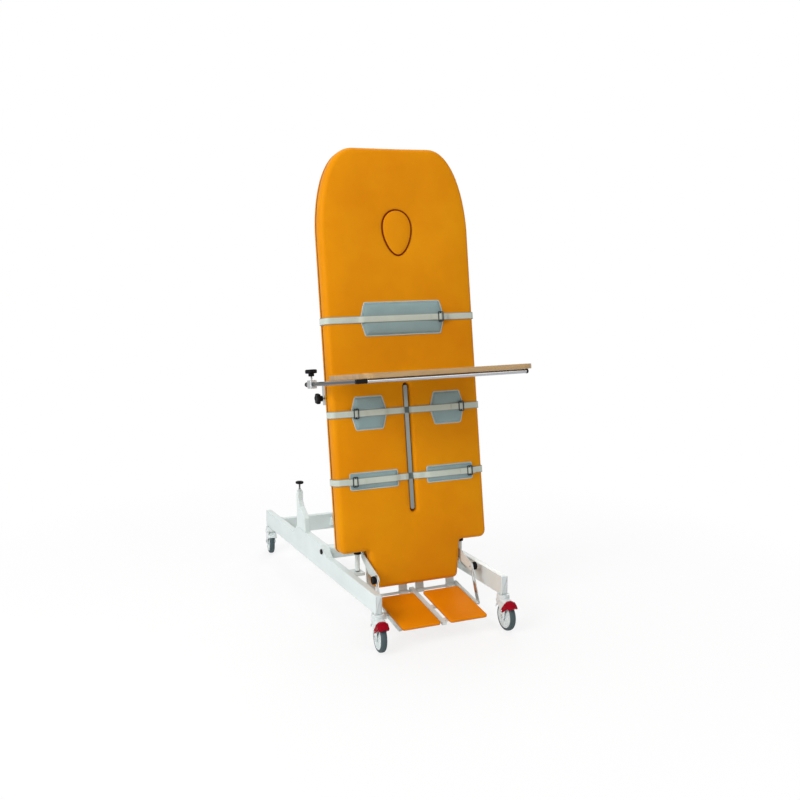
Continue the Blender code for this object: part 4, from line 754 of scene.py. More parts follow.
def repeat_tree(name, on_path):
    """Copies of an item along a path or on points, turned to face one way, realised with a finish."""
    tree = bpy.data.node_groups.new(name, "GeometryNodeTree")
    for socket, kind in (("Geometry", "Geometry"), ("Item", "Object"), ("Spacing", "Float"),
                         ("Facing", "Vector"), ("Finish", "Material")):
        tree.interface.new_socket(socket, in_out="INPUT", socket_type="NodeSocket" + kind)
    tree.interface.new_socket("Geometry", in_out="OUTPUT", socket_type="NodeSocketGeometry")
    link = tree.links.new
    given = tree.nodes.new("NodeGroupInput")
    out = tree.nodes.new("NodeGroupOutput")
    copies = tree.nodes.new("GeometryNodeInstanceOnPoints")
    turn = tree.nodes.new("FunctionNodeAlignRotationToVector")
    turn.axis = "Z"
    link(given.outputs["Facing"], turn.inputs["Vector"])
    if on_path:
        curve = tree.nodes.new("GeometryNodeMeshToCurve")
        even = tree.nodes.new("GeometryNodeResampleCurve")
        even.mode = "LENGTH"
        tangent = tree.nodes.new("GeometryNodeInputTangent")
        along = tree.nodes.new("FunctionNodeAlignRotationToVector")
        along.axis = "X"
        along.pivot_axis = "Z"
        link(given.outputs["Geometry"], curve.inputs["Mesh"])
        link(curve.outputs["Curve"], even.inputs["Curve"])
        link(given.outputs["Spacing"], even.inputs["Length"])
        link(even.outputs["Curve"], copies.inputs["Points"])
        link(turn.outputs["Rotation"], along.inputs["Rotation"])
        link(tangent.outputs["Tangent"], along.inputs["Vector"])
        link(along.outputs["Rotation"], copies.inputs["Rotation"])
    else:
        link(given.outputs["Geometry"], copies.inputs["Points"])
        link(turn.outputs["Rotation"], copies.inputs["Rotation"])
    item = tree.nodes.new("GeometryNodeObjectInfo")
    real = tree.nodes.new("GeometryNodeRealizeInstances")
    finish = tree.nodes.new("GeometryNodeSetMaterial")
    link(given.outputs["Item"], item.inputs["Object"])
    link(item.outputs["Geometry"], copies.inputs["Instance"])
    link(copies.outputs["Instances"], real.inputs["Geometry"])
    link(real.outputs["Geometry"], finish.inputs["Geometry"])
    link(given.outputs["Finish"], finish.inputs["Material"])
    link(finish.outputs["Geometry"], out.inputs["Geometry"])
    return tree


along_path = repeat_tree("repeat_along_path", True)
on_points = repeat_tree("repeat_on_points", False)


def repeated(name, tree, points, item, spacing, axis, finish, body):
    """One plain mesh of an item's copies along a closed path, or at each of the points."""
    mesh = bpy.data.meshes.new(name)
    edges = [(i, (i + 1) % len(points)) for i in range(len(points))] if tree is along_path else []
    mesh.from_pydata([tuple(p) for p in points], edges, [])
    obj = bpy.data.objects.new(name, mesh)
    bpy.context.collection.objects.link(obj)
    item_mesh = bpy.data.meshes.new(name + "_item")
    item.to_mesh(item_mesh)
    item.free()
    item_obj = bpy.data.objects.new(name + "_item", item_mesh)
    bpy.context.collection.objects.link(item_obj)
    grow = obj.modifiers.new("repeat", "NODES")
    grow.node_group = tree
    values = {"Item": item_obj, "Spacing": spacing, "Facing": tuple(axis), "Finish": finish}
    for socket in tree.interface.items_tree:
        if socket.in_out == "INPUT" and socket.name in values:
            grow[socket.identifier] = values[socket.name]
    bpy.context.view_layer.update()
    shown = obj.evaluated_get(bpy.context.evaluated_depsgraph_get())
    plain = bpy.data.meshes.new_from_object(shown)
    obj.modifiers.clear()
    obj.data = plain
    bpy.data.meshes.remove(mesh)
    bpy.data.objects.remove(item_obj)
    bpy.data.meshes.remove(item_mesh)
    plain.shade_smooth()
    plain.set_sharp_from_angle(angle=radians(40))
    joined_to(obj, body)


def stitch_item(length, radius):
    """One visible stitch: a short thread that dips at both ends."""
    points = [(-length / 2, 0, -radius), (-length * 0.32, 0, radius * 0.5), (0, 0, radius * 0.8),
              (length * 0.32, 0, radius * 0.5), (length / 2, 0, -radius)]
    return swept(points, circle_section(radius, 5))


SCREW_SIDES = 18


def screw_item(radius, height):
    """Domed screw head with a six-sided socket."""
    profile = [(radius, 0), (radius, height * 0.35), (radius * 0.86, height * 0.75), (radius * 0.58, height)]
    bm = lathe(profile, SCREW_SIDES)
    rim = [v for v in bm.verts if abs(v.co.z - height) < 1e-7]
    rim.sort(key=lambda v: atan2(v.co.y, v.co.x))
    depth = height * 0.55
    inner = []
    for i in range(SCREW_SIDES):
        angle = 2 * pi * i / SCREW_SIDES
        side = angle % (pi / 3) - pi / 6
        reach = radius * 0.46 * cos(pi / 6) / cos(side)
        inner.append((reach * cos(angle - pi), reach * sin(angle - pi)))
    upper = [bm.verts.new((x, y, height * 0.98)) for x, y in inner]
    lower = [bm.verts.new((x, y, height - depth)) for x, y in inner]
    upper.sort(key=lambda v: atan2(v.co.y, v.co.x))
    lower.sort(key=lambda v: atan2(v.co.y, v.co.x))
    for ring_a, ring_b in ((rim, upper), (upper, lower)):
        for i in range(SCREW_SIDES):
            j = (i + 1) % SCREW_SIDES
            bm.faces.new((ring_a[i], ring_a[j], ring_b[j], ring_b[i]))
    bm.faces.new(lower)
    bmesh.ops.recalc_face_normals(bm, faces=bm.faces)
    return bm


def screws(name, places, radius, height, axis, body):
    """Screw heads at the places, all facing along one axis."""
    item = screw_item(radius, height)
    repeated(name, on_points, places, item, 0.0, axis, screw_steel, body)


# Upholstery

def bed_outline(inset=0.0):
    """The cushion's outline, or the same shape cut smaller, with the same number of points."""
    steps = 16
    foot_half = 0.197 - inset
    top_half = 0.217 - inset
    foot_corner = max(0.022 - inset * 0.4, 0.006)
    corner = max(0.030 - inset * 0.4, 0.008)
    shoulder = SHOULDER + inset
    half = HALF_WIDTH - inset
    right = arc(foot_corner, -pi / 2, 0, 7, (foot_half - foot_corner, inset + foot_corner))
    right.append((top_half, shoulder - 0.012))
    right += arc(0.010, pi, pi / 2, 4, (top_half + 0.010, shoulder - 0.010))
    right += arc(corner, -pi / 2, 0, 8, (half - corner, shoulder + corner))
    start = LENGTH - 0.357
    handles = [Vector(p) for p in ((half, start), (half - 0.005, start + 0.189),
                                   (0.285 - inset * 0.8, LENGTH - 0.002 - inset), (0.180, LENGTH - inset))]
    for i in range(steps + 1):
        u = i / steps
        point = sum((handles[k] * w for k, w in enumerate(
            ((1 - u) ** 3, 3 * u * (1 - u) ** 2, 3 * u * u * (1 - u), u ** 3))), Vector((0, 0)))
        right.append(tuple(point))
    return right + [(-x, s) for x, s in reversed(right)]


def egg_outline(inset=0.0):
    """The face hole: an oval that is wider towards the head."""
    count = 64
    points = []
    for i in range(count):
        angle = 2 * pi * i / count
        widen = 1 + 0.21 * sin(angle)
        points.append(((HOLE_HALF[0] - inset) * cos(angle) * widen,
                       HOLE_CENTRE + (HOLE_HALF[1] - inset) * sin(angle)))
    return np.array(points)


def slot_outline():
    """The long slot with round ends that the leg bar lies in."""
    half, foot, head = SLOT
    loop = arc(half, pi, 2 * pi, 9, (0, foot + half)) + arc(half, 0, pi, 9, (0, head - half))
    return resampled(loop, 0.006)


def rim_drop(d):
    """How far the face lies behind its crown at distances from the outline."""
    edge = CROWN + EDGE - np.sqrt(np.maximum(EDGE ** 2 - np.maximum(EDGE - d, 0) ** 2, 0))
    share = np.clip((CROWN_REACH - d) / (CROWN_REACH - EDGE), 0, 1)
    return np.where(d < EDGE, edge, CROWN * share ** 2)


def soft_dip(d, width, depth):
    """A rolled edge beside an opening."""
    share = np.clip(1 - d / width, 0, 1)
    return depth * (1 - np.sqrt(np.maximum(1 - share ** 2, 0)))


def strap_band(points):
    """How firmly a strap holds the cushion at each (x, s): 1 under the webbing, 0 away from it."""
    held = np.zeros(len(points))
    for name, centre in STRAPS.items():
        near = np.clip(1.6 - np.abs(points[:, 1] - centre) / 0.024, 0, 1)
        if name != "chest":
            near *= np.clip((np.abs(points[:, 0]) - 0.006) / 0.01, 0, 1)
        held = np.maximum(held, near)
    return held


def build_mattress():
    """The crowned cushion, drawn down at its edge, round the slot and hole, and under each strap."""
    outline = resampled(bed_outline(), 0.008)
    slot_loop = slot_outline()
    hole_loop = resampled(egg_outline(), 0.006)

    def face(points):
        d = away_from(points, outline)
        to_slot = away_from(points, slot_loop)
        to_hole = away_from(points, hole_loop)
        t = -rim_drop(d) - FACE_SINK
        t -= soft_dip(to_slot, 0.016, 0.011) + 0.0022 * np.exp(-to_slot / 0.030)
        t -= soft_dip(to_hole, 0.008, 0.005) + 0.0026 * np.exp(-to_hole / 0.018)
        free = 1 - strap_band(points)
        for end, way in ((SLOT[1], -1), (SLOT[2], 1)):
            away = points - np.array((0, end))
            reach = np.hypot(away[:, 0], away[:, 1])
            angle = np.arctan2(away[:, 0], away[:, 1] * way)
            fold = np.cos(angle * 7) * np.exp(-((reach - 0.035) / 0.030) ** 2) * (np.abs(angle) < 1.5)
            t += 0.0009 * fold
        wave = np.array([noise.noise(Vector((x * 5.0, s * 4.0, 0.3))) for x, s in points])
        t += free * 0.0013 * wave * np.clip((d - 0.02) / 0.05, 0, 1)
        return t

    walls = [(-0.034, -0.0012), (-0.046, -0.0010), (-0.056, -0.0004), (-0.0620, 0.0010), (-0.0645, 0.0030)]
    bm = cushion_mesh(outline, [slot_loop, hole_loop], (0, 0.0012, 0.0035, 0.007, 0.012, 0.018, 0.026),
                      (0, 0.0012, 0.0035, 0.0075, 0.013), 0.014, face, CUSHION_BACK, walls)
    obj = finished("mattress_cushion", bm, orange_vinyl, "bed", ["mattress"], 50)

    def press(start, shift):
        fixed_behind, most = -0.06, 0.0030
        held = strap_band(start[:, :2])
        shift[:, 2] *= np.where(start[:, 2] > fixed_behind, 1, 0)
        moved = start + shift
        moved[:, 2] = np.minimum(moved[:, 2], start[:, 2] + most * (1 - held))
        moved[:, 2] = np.where(start[:, 2] < fixed_behind, start[:, 2], moved[:, 2])
        moved[:, 2] = np.maximum(moved[:, 2], CUSHION_BACK)
        return moved

    puffed(obj, 0.0045, press, 3.0, 14)
    settle(obj, BED)


def build_plug():
    """The cushion in the face hole, the welt round it and its row of stitches."""
    outline = resampled(egg_outline(0.0015), 0.006)

    def face(points):
        d = away_from(points, outline)
        dome = 1 - np.exp(-d / 0.016)
        return -0.0050 + soft_rise(d, 0.006, 0.0035) + 0.0045 * dome

    bm = cushion_mesh(outline, [], (0, 0.0012, 0.003, 0.0055, 0.010), (), 0.011, face, -0.0645,
                      [(-0.030, 0.0), (-0.060, 0.0005)])
    obj = finished("face_plug_cushion", bm, orange_vinyl, "plug", ["face_plug"], 50)

    def press(start, shift):
        moved = start + shift
        moved[:, :2] = start[:, :2] + shift[:, :2] * 0.1
        fixed_behind, most = -0.03, 0.003
        pressed = np.minimum(moved[:, 2], start[:, 2] + most)
        moved[:, 2] = np.where(start[:, 2] < fixed_behind, start[:, 2], pressed)
        return moved

    puffed(obj, 0.003, press, 3.0, 12)
    settle(obj, BED)
    ring = [bed_point(x, s, -0.0030) for x, s in resampled(egg_outline(0.0005), 0.006)]
    seam = swept(ring, circle_section(0.0031, 8), True, FACE_AXIS)
    # The welt's dark red-brown is painted shade of the groove round the plug.
    finished("face_hole_welt", seam, seam_vinyl_painted_shade, "bed")
    path = [bed_point(x, s, 0.0004) for x, s in resampled(egg_outline(0.013), 0.006)]
    repeated("face_plug_stitches", along_path, path, stitch_item(0.0052, 0.0005), 0.0072, FACE_AXIS,
             plug_thread, "plug")


def soft_rise(d, width, height):
    share = np.clip(d / width, 0, 1)
    return height * np.sqrt(np.maximum(1 - (1 - share) ** 2, 0))


def build_wrap():
    """The vinyl's turned-over margin behind the bed, with its staples."""
    bm = bmesh.new()
    inner = np.array(bed_outline(0.033))
    base = np.array(bed_outline(0.001))
    mid = np.array(bed_outline(0.004))
    levels = ((base, -0.0640), (base, -0.0760), (mid, -0.0812), (inner, -0.0816), (inner, -0.0806))
    rings = [[bm.verts.new((x, s, t)) for x, s in loop] for loop, t in levels]
    bridged(bm, rings)
    finished("vinyl_margin", bm, orange_vinyl, "bed", place=BED)
    path = [bed_point(x, s, -0.0817) for x, s in bed_outline(0.022)]
    staple = swept([(-0.005, 0, -0.0004), (-0.0047, 0, 0.0004), (0.0047, 0, 0.0004), (0.005, 0, -0.0004)],
                   circle_section(0.0005, 6))
    repeated("margin_staples", along_path, path, staple, 0.019, -FACE_AXIS, zinc_steel, "bed")


# Straps, pads and buckles

def cushion_level(x):
    """t of the cushion's face at a distance across, away from the foot and head."""
    return -float(rim_drop(np.array([HALF_WIDTH - abs(x)]))[0])


def band_section(half, thickness):
    """Section of a flat web with round edges."""
    round_edge = thickness / 2
    return (arc(round_edge, -pi / 2, pi / 2, 5, (half - round_edge, thickness / 2))
            + [(half * 0.33, thickness), (-half * 0.33, thickness)]
            + arc(round_edge, pi / 2, 3 * pi / 2, 5, (-half + round_edge, thickness / 2))
            + [(-half * 0.33, 0), (half * 0.33, 0)])


def band(name, path, s, finish, half=WEBBING[0] / 2, thickness=WEBBING[1], closed=False):
    """Webbing whose path is given in x and t at one height up the bed."""
    points = [Vector((x, s, t)) for x, t in path]
    bm = bmesh.new()
    layer = bm.loops.layers.uv.new("UVMap")
    section = band_section(half, thickness)
    rings, lengths, count = [], [0.0], len(points)
    for i, point in enumerate(points):
        ahead = points[(i + 1) % count] if closed or i + 1 < count else point
        behind = points[i - 1] if closed or i else point
        heading = (ahead - behind).normalized()
        normal = Vector((-heading.z, 0, heading.x))
        rings.append([bm.verts.new(point + Vector((0, a, 0)) + normal * b) for a, b in section])
        if i:
            lengths.append(lengths[-1] + (point - points[i - 1]).length)
    for i in range(count if closed else count - 1):
        j = (i + 1) % count
        far = lengths[j] if j else lengths[-1] + (points[0] - points[-1]).length
        for k in range(len(section)):
            m = (k + 1) % len(section)
            face = bm.faces.new((rings[i][k], rings[j][k], rings[j][m], rings[i][m]))
            for loop, uv in zip(face.loops, ((lengths[i], section[k][0]), (far, section[k][0]),
                                             (far, section[m][0]), (lengths[i], section[m][0]))):
                loop[layer].uv = uv
    if not closed:
        bm.faces.new(rings[0])
        bm.faces.new(list(reversed(rings[-1])))
    finished(name, bm, finish, "bed", smooth=50, place=BED)


def side_run():
    """Path points from the flat of the bed round its side edge to behind the board."""
    points = []
    for inset in (CROWN_REACH, 0.105, 0.084, 0.066, 0.049, 0.034, EDGE):
        points.append((HALF_WIDTH - inset, cushion_level(HALF_WIDTH - inset) + WEBBING_GAP))
    centre = (HALF_WIDTH - EDGE, -CROWN - EDGE)
    for i in range(1, 8):
        angle = pi / 2 * i / 7
        reach = EDGE + WEBBING_GAP + 0.0004
        points.append((centre[0] + reach * sin(angle), centre[1] + reach * cos(angle)))
    points += [(HALF_WIDTH + 0.0018, -0.050), (HALF_WIDTH + 0.0016, -0.072), (HALF_WIDTH - 0.0005, -0.0808),
               (HALF_WIDTH - 0.008, -0.0838), (HALF_WIDTH - 0.024, -0.0840)]
    return points


def pad_level(x, low, high):
    """t under the strap where it climbs over a pad between two x values."""
    ramp = 0.014
    if x < low - ramp or x > high + ramp:
        return cushion_level(x) + WEBBING_GAP
    share = min(1.0, min(x - (low - ramp), (high + ramp) - x) / (2 * ramp))
    ease = share * share * (3 - 2 * share)
    return (cushion_level(x) + WEBBING_GAP) * (1 - ease) + PAD_TOP * ease


def build_pad(name, s, centre, half, tall, point, replaces):
    """A padded patch with its piping and its row of stitches."""
    sewn_half = 0.017
    inner = half - point
    if point:
        shape = [(half, 0), (inner, tall), (-inner, tall), (-half, 0), (-inner, -tall), (inner, -tall)]
    else:
        shape = rectangle(half, tall)
    loop = resampled(rounded([(centre + x, s + y) for x, y in shape], PAD_CORNER, 5), 0.005)
    rim = moved_in(loop, 0.0022)

    def face(points):
        d = away_from(points, rim)
        level = np.array([cushion_level(x) for x, _ in points])
        swell = 0.0085 * (1 - np.exp(-d / 0.010)) + 0.0030
        sewn = np.exp(-((points[:, 1] - s) / sewn_half) ** 4)
        wave = np.array([noise.noise(Vector((x * 22.0, y * 9.0, centre * 7.0))) for x, y in points])
        quilt = 0.0009 * wave * np.clip(d / 0.012, 0, 1)
        return np.maximum(level * 0.6, -0.0025) + swell * (1 - 0.18 * sewn) + quilt * (1 - sewn)

    bm = cushion_mesh(rim, [], (0, 0.0015, 0.004, 0.008, 0.013), (), 0.009, face, 0.0004, [(0.0014, -0.0004)])
    unwrap_flat(bm)
    pad = finished(name + "_pad", bm, pad_cloth, "bed", replaces, 60)

    def press(start, shift):
        moved = start + shift * np.where(start[:, 2:3] > 0.002, 1, 0)
        moved[:, :2] = start[:, :2] + shift[:, :2] * 0.3
        return moved

    puffed(pad, 0.0014, press, 2.0, 10)
    settle(pad, BED)
    piping = [bed_point(x, y, 0.0026 + max(cushion_level(x) * 0.6, -0.0025)) for x, y in loop]
    finished(name + "_piping", swept(piping, circle_section(0.0026, 8), True, FACE_AXIS), piping_cloth, "bed")
    seam = [bed_point(x, y, 0.0064 + max(cushion_level(x) * 0.6, -0.0025)) for x, y in moved_in(loop, 0.0075)]
    repeated(name + "_stitches", along_path, seam, stitch_item(0.0034, 0.00042), 0.0046, FACE_AXIS,
             thread_finish, "bed")


def build_buckle(name, x, s, t, side):
    """Three-bar slide of round wire, standing a little off the webbing, with the tail folded over it."""
    half_s, half_x, wire = 0.0205, 0.0105, 0.0022
    over = t + 0.0030 + wire
    loop = rounded(rectangle(half_x, half_s), 0.004, 5)
    ring = [Vector((x + a, s + b, over + side * a * 0.08)) for a, b in loop]
    bar = [Vector((x, s + y, t + rise)) for y, rise in
           ((-half_s, over - t), (-0.0175, 0.0030), (-0.0150, wire), (0.0150, wire), (0.0175, 0.0030),
            (half_s, over - t))]
    for label, path, closed in (("_buckle_frame", ring, True), ("_buckle_bar", bar, False)):
        wires = swept(path, circle_section(wire, 10), closed)
        finished(name + label, wires, buckle_steel, "bed", place=BED)
    tail = [(x + side * along, t + rise) for along, rise in
            ((0.030, 0.0002), (0.018, 0.0006), (0.0105, 0.0010), (0.006, 0.0034), (0.0025, 0.0047),
             (-0.0025, 0.0047), (-0.006, 0.0034), (-0.0105, 0.0011), (-0.018, 0.0012), (-0.034, 0.0016),
             (-0.046, 0.0018))]
    if side > 0:
        tail.reverse()
    band(name + "_strap_end", tail, s, webbing_cloth, half=0.0145, thickness=0.0018)


def build_straps():
    """Each strap's pads, its webbing over them and round the bed's side, and its buckles."""
    chest = STRAPS["chest"]
    pad_half = 0.197
    flat_end = HALF_WIDTH - CROWN_REACH
    middle = [x / 1000 for x in range(0, 226, 9)]
    right = [(x, pad_level(x, -pad_half, pad_half)) for x in middle if x < flat_end] + side_run()
    left = [(-x, t) for x, t in right[1:]]
    build_pad("chest", chest, 0.0, pad_half, 0.071, 0.020, ["chest_strap"])
    band("chest_webbing", list(reversed(left)) + right, chest, webbing_cloth)
    build_buckle("chest", 0.176, chest, PAD_TOP + 0.002, 1)
    for name, centre, half, tall, point in (("thigh", 0.185, 0.082, 0.070, 0.020),
                                            ("ankle", 0.180, 0.110, 0.035, 0.0)):
        s = STRAPS[name]
        for word, side in (("left", -1), ("right", 1)):
            label = name + "_" + word
            build_pad(label, s, side * centre, half, tall, point, [name + "_strap_" + word])
            path = slot_entry()
            spots = np.arange(0.030, HALF_WIDTH - 0.128, 0.008)
            path += [(x, pad_level(x, centre - half, centre + half)) for x in spots]
            outer = [(x, max(t, pad_level(x, centre - half, centre + half))) if t > -0.03 else (x, t)
                     for x, t in side_run()]
            if name == "thigh":
                outer = [(x, t) for x, t in outer if t > -0.051] + [(HALF_WIDTH + 0.0014, -0.0640)]
            path += outer
            if side < 0:
                path = [(-x, t) for x, t in reversed(path)]
            band(label + "_webbing", path, s, webbing_cloth)
            build_buckle(label, side * (centre + half - 0.018), s, PAD_TOP + 0.002, side)
        # The loop wears the darkened webbing: painted shade of the slot.
        band(name + "_bar_loop", loop_path(), s, loop_cloth_painted_shade, half=0.0135, thickness=0.0018, closed=True)


def slot_entry():
    """Path from behind the leg bar up over the slot's rolled edge."""
    return [(0.0130, -0.0300), (0.0133, -0.0240), (0.0138, -0.0180), (0.0148, -0.0120), (0.0175, -0.0068),
            (0.0222, -0.0034)]


def loop_path():
    """Closed loop of webbing round the leg bar."""
    half, front, back = 0.0118, -0.0172, -0.0240
    points = arc(0.0034, pi / 2, -pi / 2, 6, (half - 0.001, (front + back) / 2))
    points += arc(0.0034, -pi / 2, -3 * pi / 2, 6, (-half + 0.001, (front + back) / 2))
    return list(reversed(points))


# Foot plates

def plate_frame():
    """Placement of the foot plates: origin on the hinge, local Y back along the plates, Z out of them."""
    foot = ORIGIN + Vector((0, 0, FOOT_HEIGHT)) - PIVOT
    face_y = foot.y * cos(LEAN) - foot.z * sin(LEAN)
    foot_z = foot.y * sin(LEAN) + foot.z * cos(LEAN)
    hinge = Matrix.Translation((0, face_y + HINGE_BACK, foot_z - HINGE_DROP))
    local = hinge @ Matrix.Rotation(PLATE_RISE, 4, "X")
    return Matrix.Translation(PIVOT) @ Matrix.Rotation(-LEAN, 4, "X") @ local


def build_foot_plate(word, side):
    """One padded plate with the screws under it."""
    inner, outer, front, rear = 0.022, 0.196, -0.342, -0.064
    shape = [(side * inner, front), (side * outer, front), (side * outer, rear), (side * inner, rear)]
    if side < 0:
        shape.reverse()
    loop = resampled(rounded(shape, 0.013, 7), 0.006)
    base, top = 0.0165, 0.0290
    place = plate_frame()

    def face(points):
        d = away_from(points, loop)
        wave = np.array([noise.noise(Vector((x * 14.0, y * 11.0, side * 3.0))) for x, y in points])
        return top - 0.0048 + soft_rise(d, 0.0058, 0.0048) + 0.0006 * wave * np.clip(d / 0.02, 0, 1)

    bm = cushion_mesh(loop, [], (0, 0.0008, 0.0022, 0.0045, 0.009), (), 0.011, face, base,
                      [(0.0215, -0.0004), (0.0186, 0.0006), (0.0170, 0.0026)])
    # The plates wear the brightened vinyl: painted light.
    obj = finished("foot_plate_cushion_" + word, bm, plate_vinyl_painted_light, "foot_rest", ["foot_plate_" + word],
                   50)

    def press(start, shift):
        moved = start + shift
        moved[:, :2] = start[:, :2] + shift[:, :2] * 0.5
        fixed_below = 0.018
        moved[:, 2] = np.where(start[:, 2] < fixed_below, start[:, 2], moved[:, 2])
        return moved

    puffed(obj, 0.0012, press, 3.0, 12)
    settle(obj, place)
    heads = [place @ Vector((side * x, y, 0.0168)) for x in (0.060, 0.150) for y in (-0.12, -0.29)]
    down = place.to_3x3() @ Vector((0, 0, -1))
    screws("foot_plate_screws_" + word, heads, 0.0045, 0.0026, down, "foot_rest")


# Knobs

def star_knob(node, axis, body, radius, stem, hub=0.012, thick=0.018, lobes=6, dip=0.15, screw=0.004):
    """Lobed clamping knob with its hub and screw, from the face that it bears on."""
    along = Vector(axis).normalized()
    base = middle_of(node) - along * (stem + hub + thick) / 2
    neck = min(0.0125, radius * 0.66)
    foot = stem + hub
    profile = [(0, stem), (neck * 0.86, stem), (neck, stem + 0.0015), (neck, foot)]
    profile.append((neck * 1.12, foot + 0.0006))
    profile += [(radius * out, foot + thick * up, wave) for out, up, wave in
                ((0.80, 0.02, 1), (0.93, 0.06, 1), (0.99, 0.20, 1), (1.0, 0.38, 1), (1.0, 0.62, 1),
                 (0.985, 0.80, 1), (0.93, 0.93, 1), (0.80, 0.98, 1), (0.52, 1.0, 0.4), (0.42, 0.95, 0),
                 (0.36, 0.94, 0))]
    profile.append((0, foot + thick * 0.96))
    place = facing(base, along)
    finished(node + "_grip", lathe(profile, 72, lobes, radius * dip), black_plastic, body, [node],
             55, place)
    root = screw * 0.85
    tip = stem + 0.004
    turns = int(tip / 0.0015)
    pitch = tip / turns
    thread = []
    for i in range(turns):
        z = i * pitch
        thread += [(root, z), (screw, z + pitch * 0.35), (screw, z + pitch * 0.55), (root, z + pitch * 0.9)]
    bolt = lathe([(0, 0)] + thread + [(root, tip), (0, tip)], 20)
    finished(node + "_screw", bolt, screw_steel, body, place=place)


def build_knobs():
    star_knob("reach_knob", UP_AXIS, "reach_screw", 0.026, 0.014)
    star_knob("height_knob", (-1, 0, 0), "height_screw", 0.024, 0.007)
    for word, side in (("left", -1), ("right", 1)):
        star_knob("foot_knob_" + word, (side, 0, 0), "foot_screw_" + word, 0.018, 0.0149, hub=0.003,
                  thick=0.014, lobes=8, dip=0.06, screw=0.003)


# Castors

CASTORS = {"front_left": (-6, True), "front_right": (0, True),
           "rear_left": (170, False), "rear_right": (180, False)}
WHEEL_RADIUS = 0.0625
RIM_RADIUS = 0.0508
TRAIL = 0.032
AXLE = Vector((0, -TRAIL, WHEEL_RADIUS))
PEDAL_PIVOT_RISE = 0.026


def castor_places(name):
    """Wheel placement with local Z along the axle, and stem placement with local Y trailing forwards."""
    turn = Matrix.Rotation(radians(CASTORS[name][0]), 4, "Z")
    centre = middle_of("castor_wheel_" + name)
    wheel = Matrix.Translation(centre) @ turn @ Matrix.Rotation(pi / 2, 4, "Y")
    stem = Matrix.Translation((centre.x, centre.y, 0)) @ turn @ Matrix.Translation((0, TRAIL, 0))
    return wheel, stem


def both_sides(half, middle=()):
    """A closed profile from the radii and heights of its lower half."""
    return half + list(middle) + [(radius, -height) for radius, height in reversed(half)] + half[:1]


def build_castor(name):
    """Tyre, ribbed wheel and fork, and the brake pedal where the castor has one."""
    wheel, stem = castor_places(name)
    tyre = both_sides([(RIM_RADIUS - 0.0012, -0.0105), (RIM_RADIUS + 0.001, -0.0125),
                       (RIM_RADIUS + 0.0045, -0.0133), (0.0580, -0.0120), (0.0612, -0.0085),
                       (0.0623, -0.0040)], [(WHEEL_RADIUS, 0.0)])
    finished("tyre_" + name, lathe(tyre, 72), tyre_rubber, "wheel_" + name, ["castor_tyre_" + name],
             35, wheel)
    disc = both_sides([(0.0066, -0.0155), (0.0105, -0.0155), (0.0128, -0.0148), (0.0134, -0.0130),
                       (0.0140, -0.0104), (0.0200, -0.0100), (0.0385, -0.0100), (0.0425, -0.0106),
                       (0.0440, -0.0130), (0.0492, -0.0133), (0.0504, -0.0116)])
    finished("wheel_disc_" + name, lathe(disc, 72), hub_plastic, "wheel_" + name, ["castor_wheel_" + name],
             35, wheel)
    ribs = 8
    spokes = bmesh.new()
    for k in range(ribs):
        for face in (-1, 1):
            rib = rib_solid(0.0145, 0.0420, 0.0032, 0.0096, 0.0122, face)
            rib.transform(Matrix.Rotation(2 * pi * k / ribs, 4, "Z"))
            append(spokes, rib)
    finished("wheel_ribs_" + name, spokes, hub_plastic, "wheel_" + name, place=wheel)
    build_fork(name, stem)
    if CASTORS[name][1]:
        build_pedal(name, stem)


def append(target, extra):
    """Adds one loose shape to another."""
    mesh = bpy.data.meshes.new("part")
    extra.to_mesh(mesh)
    extra.free()
    target.from_mesh(mesh)
    bpy.data.meshes.remove(mesh)


def rib_solid(inner, outer, width, low, high, face):
    """One tapered rib of the wheel's disc, on one of its two faces."""
    bm = bmesh.new()
    shape = [(inner, width / 2, low), (outer, width * 0.35, low), (outer, -width * 0.35, low),
             (inner, -width / 2, low)]
    tip = high - 0.0012
    top = [(inner, width * 0.36, high), (outer, width * 0.24, tip), (outer, -width * 0.24, tip),
           (inner, -width * 0.36, high)]
    rings = [[bm.verts.new((x, y, z * face)) for x, y, z in level] for level in (shape, top)]
    bridged(bm, rings)
    bm.faces.new(rings[0])
    bm.faces.new(rings[1])
    bmesh.ops.recalc_face_normals(bm, faces=bm.faces)
    return bm


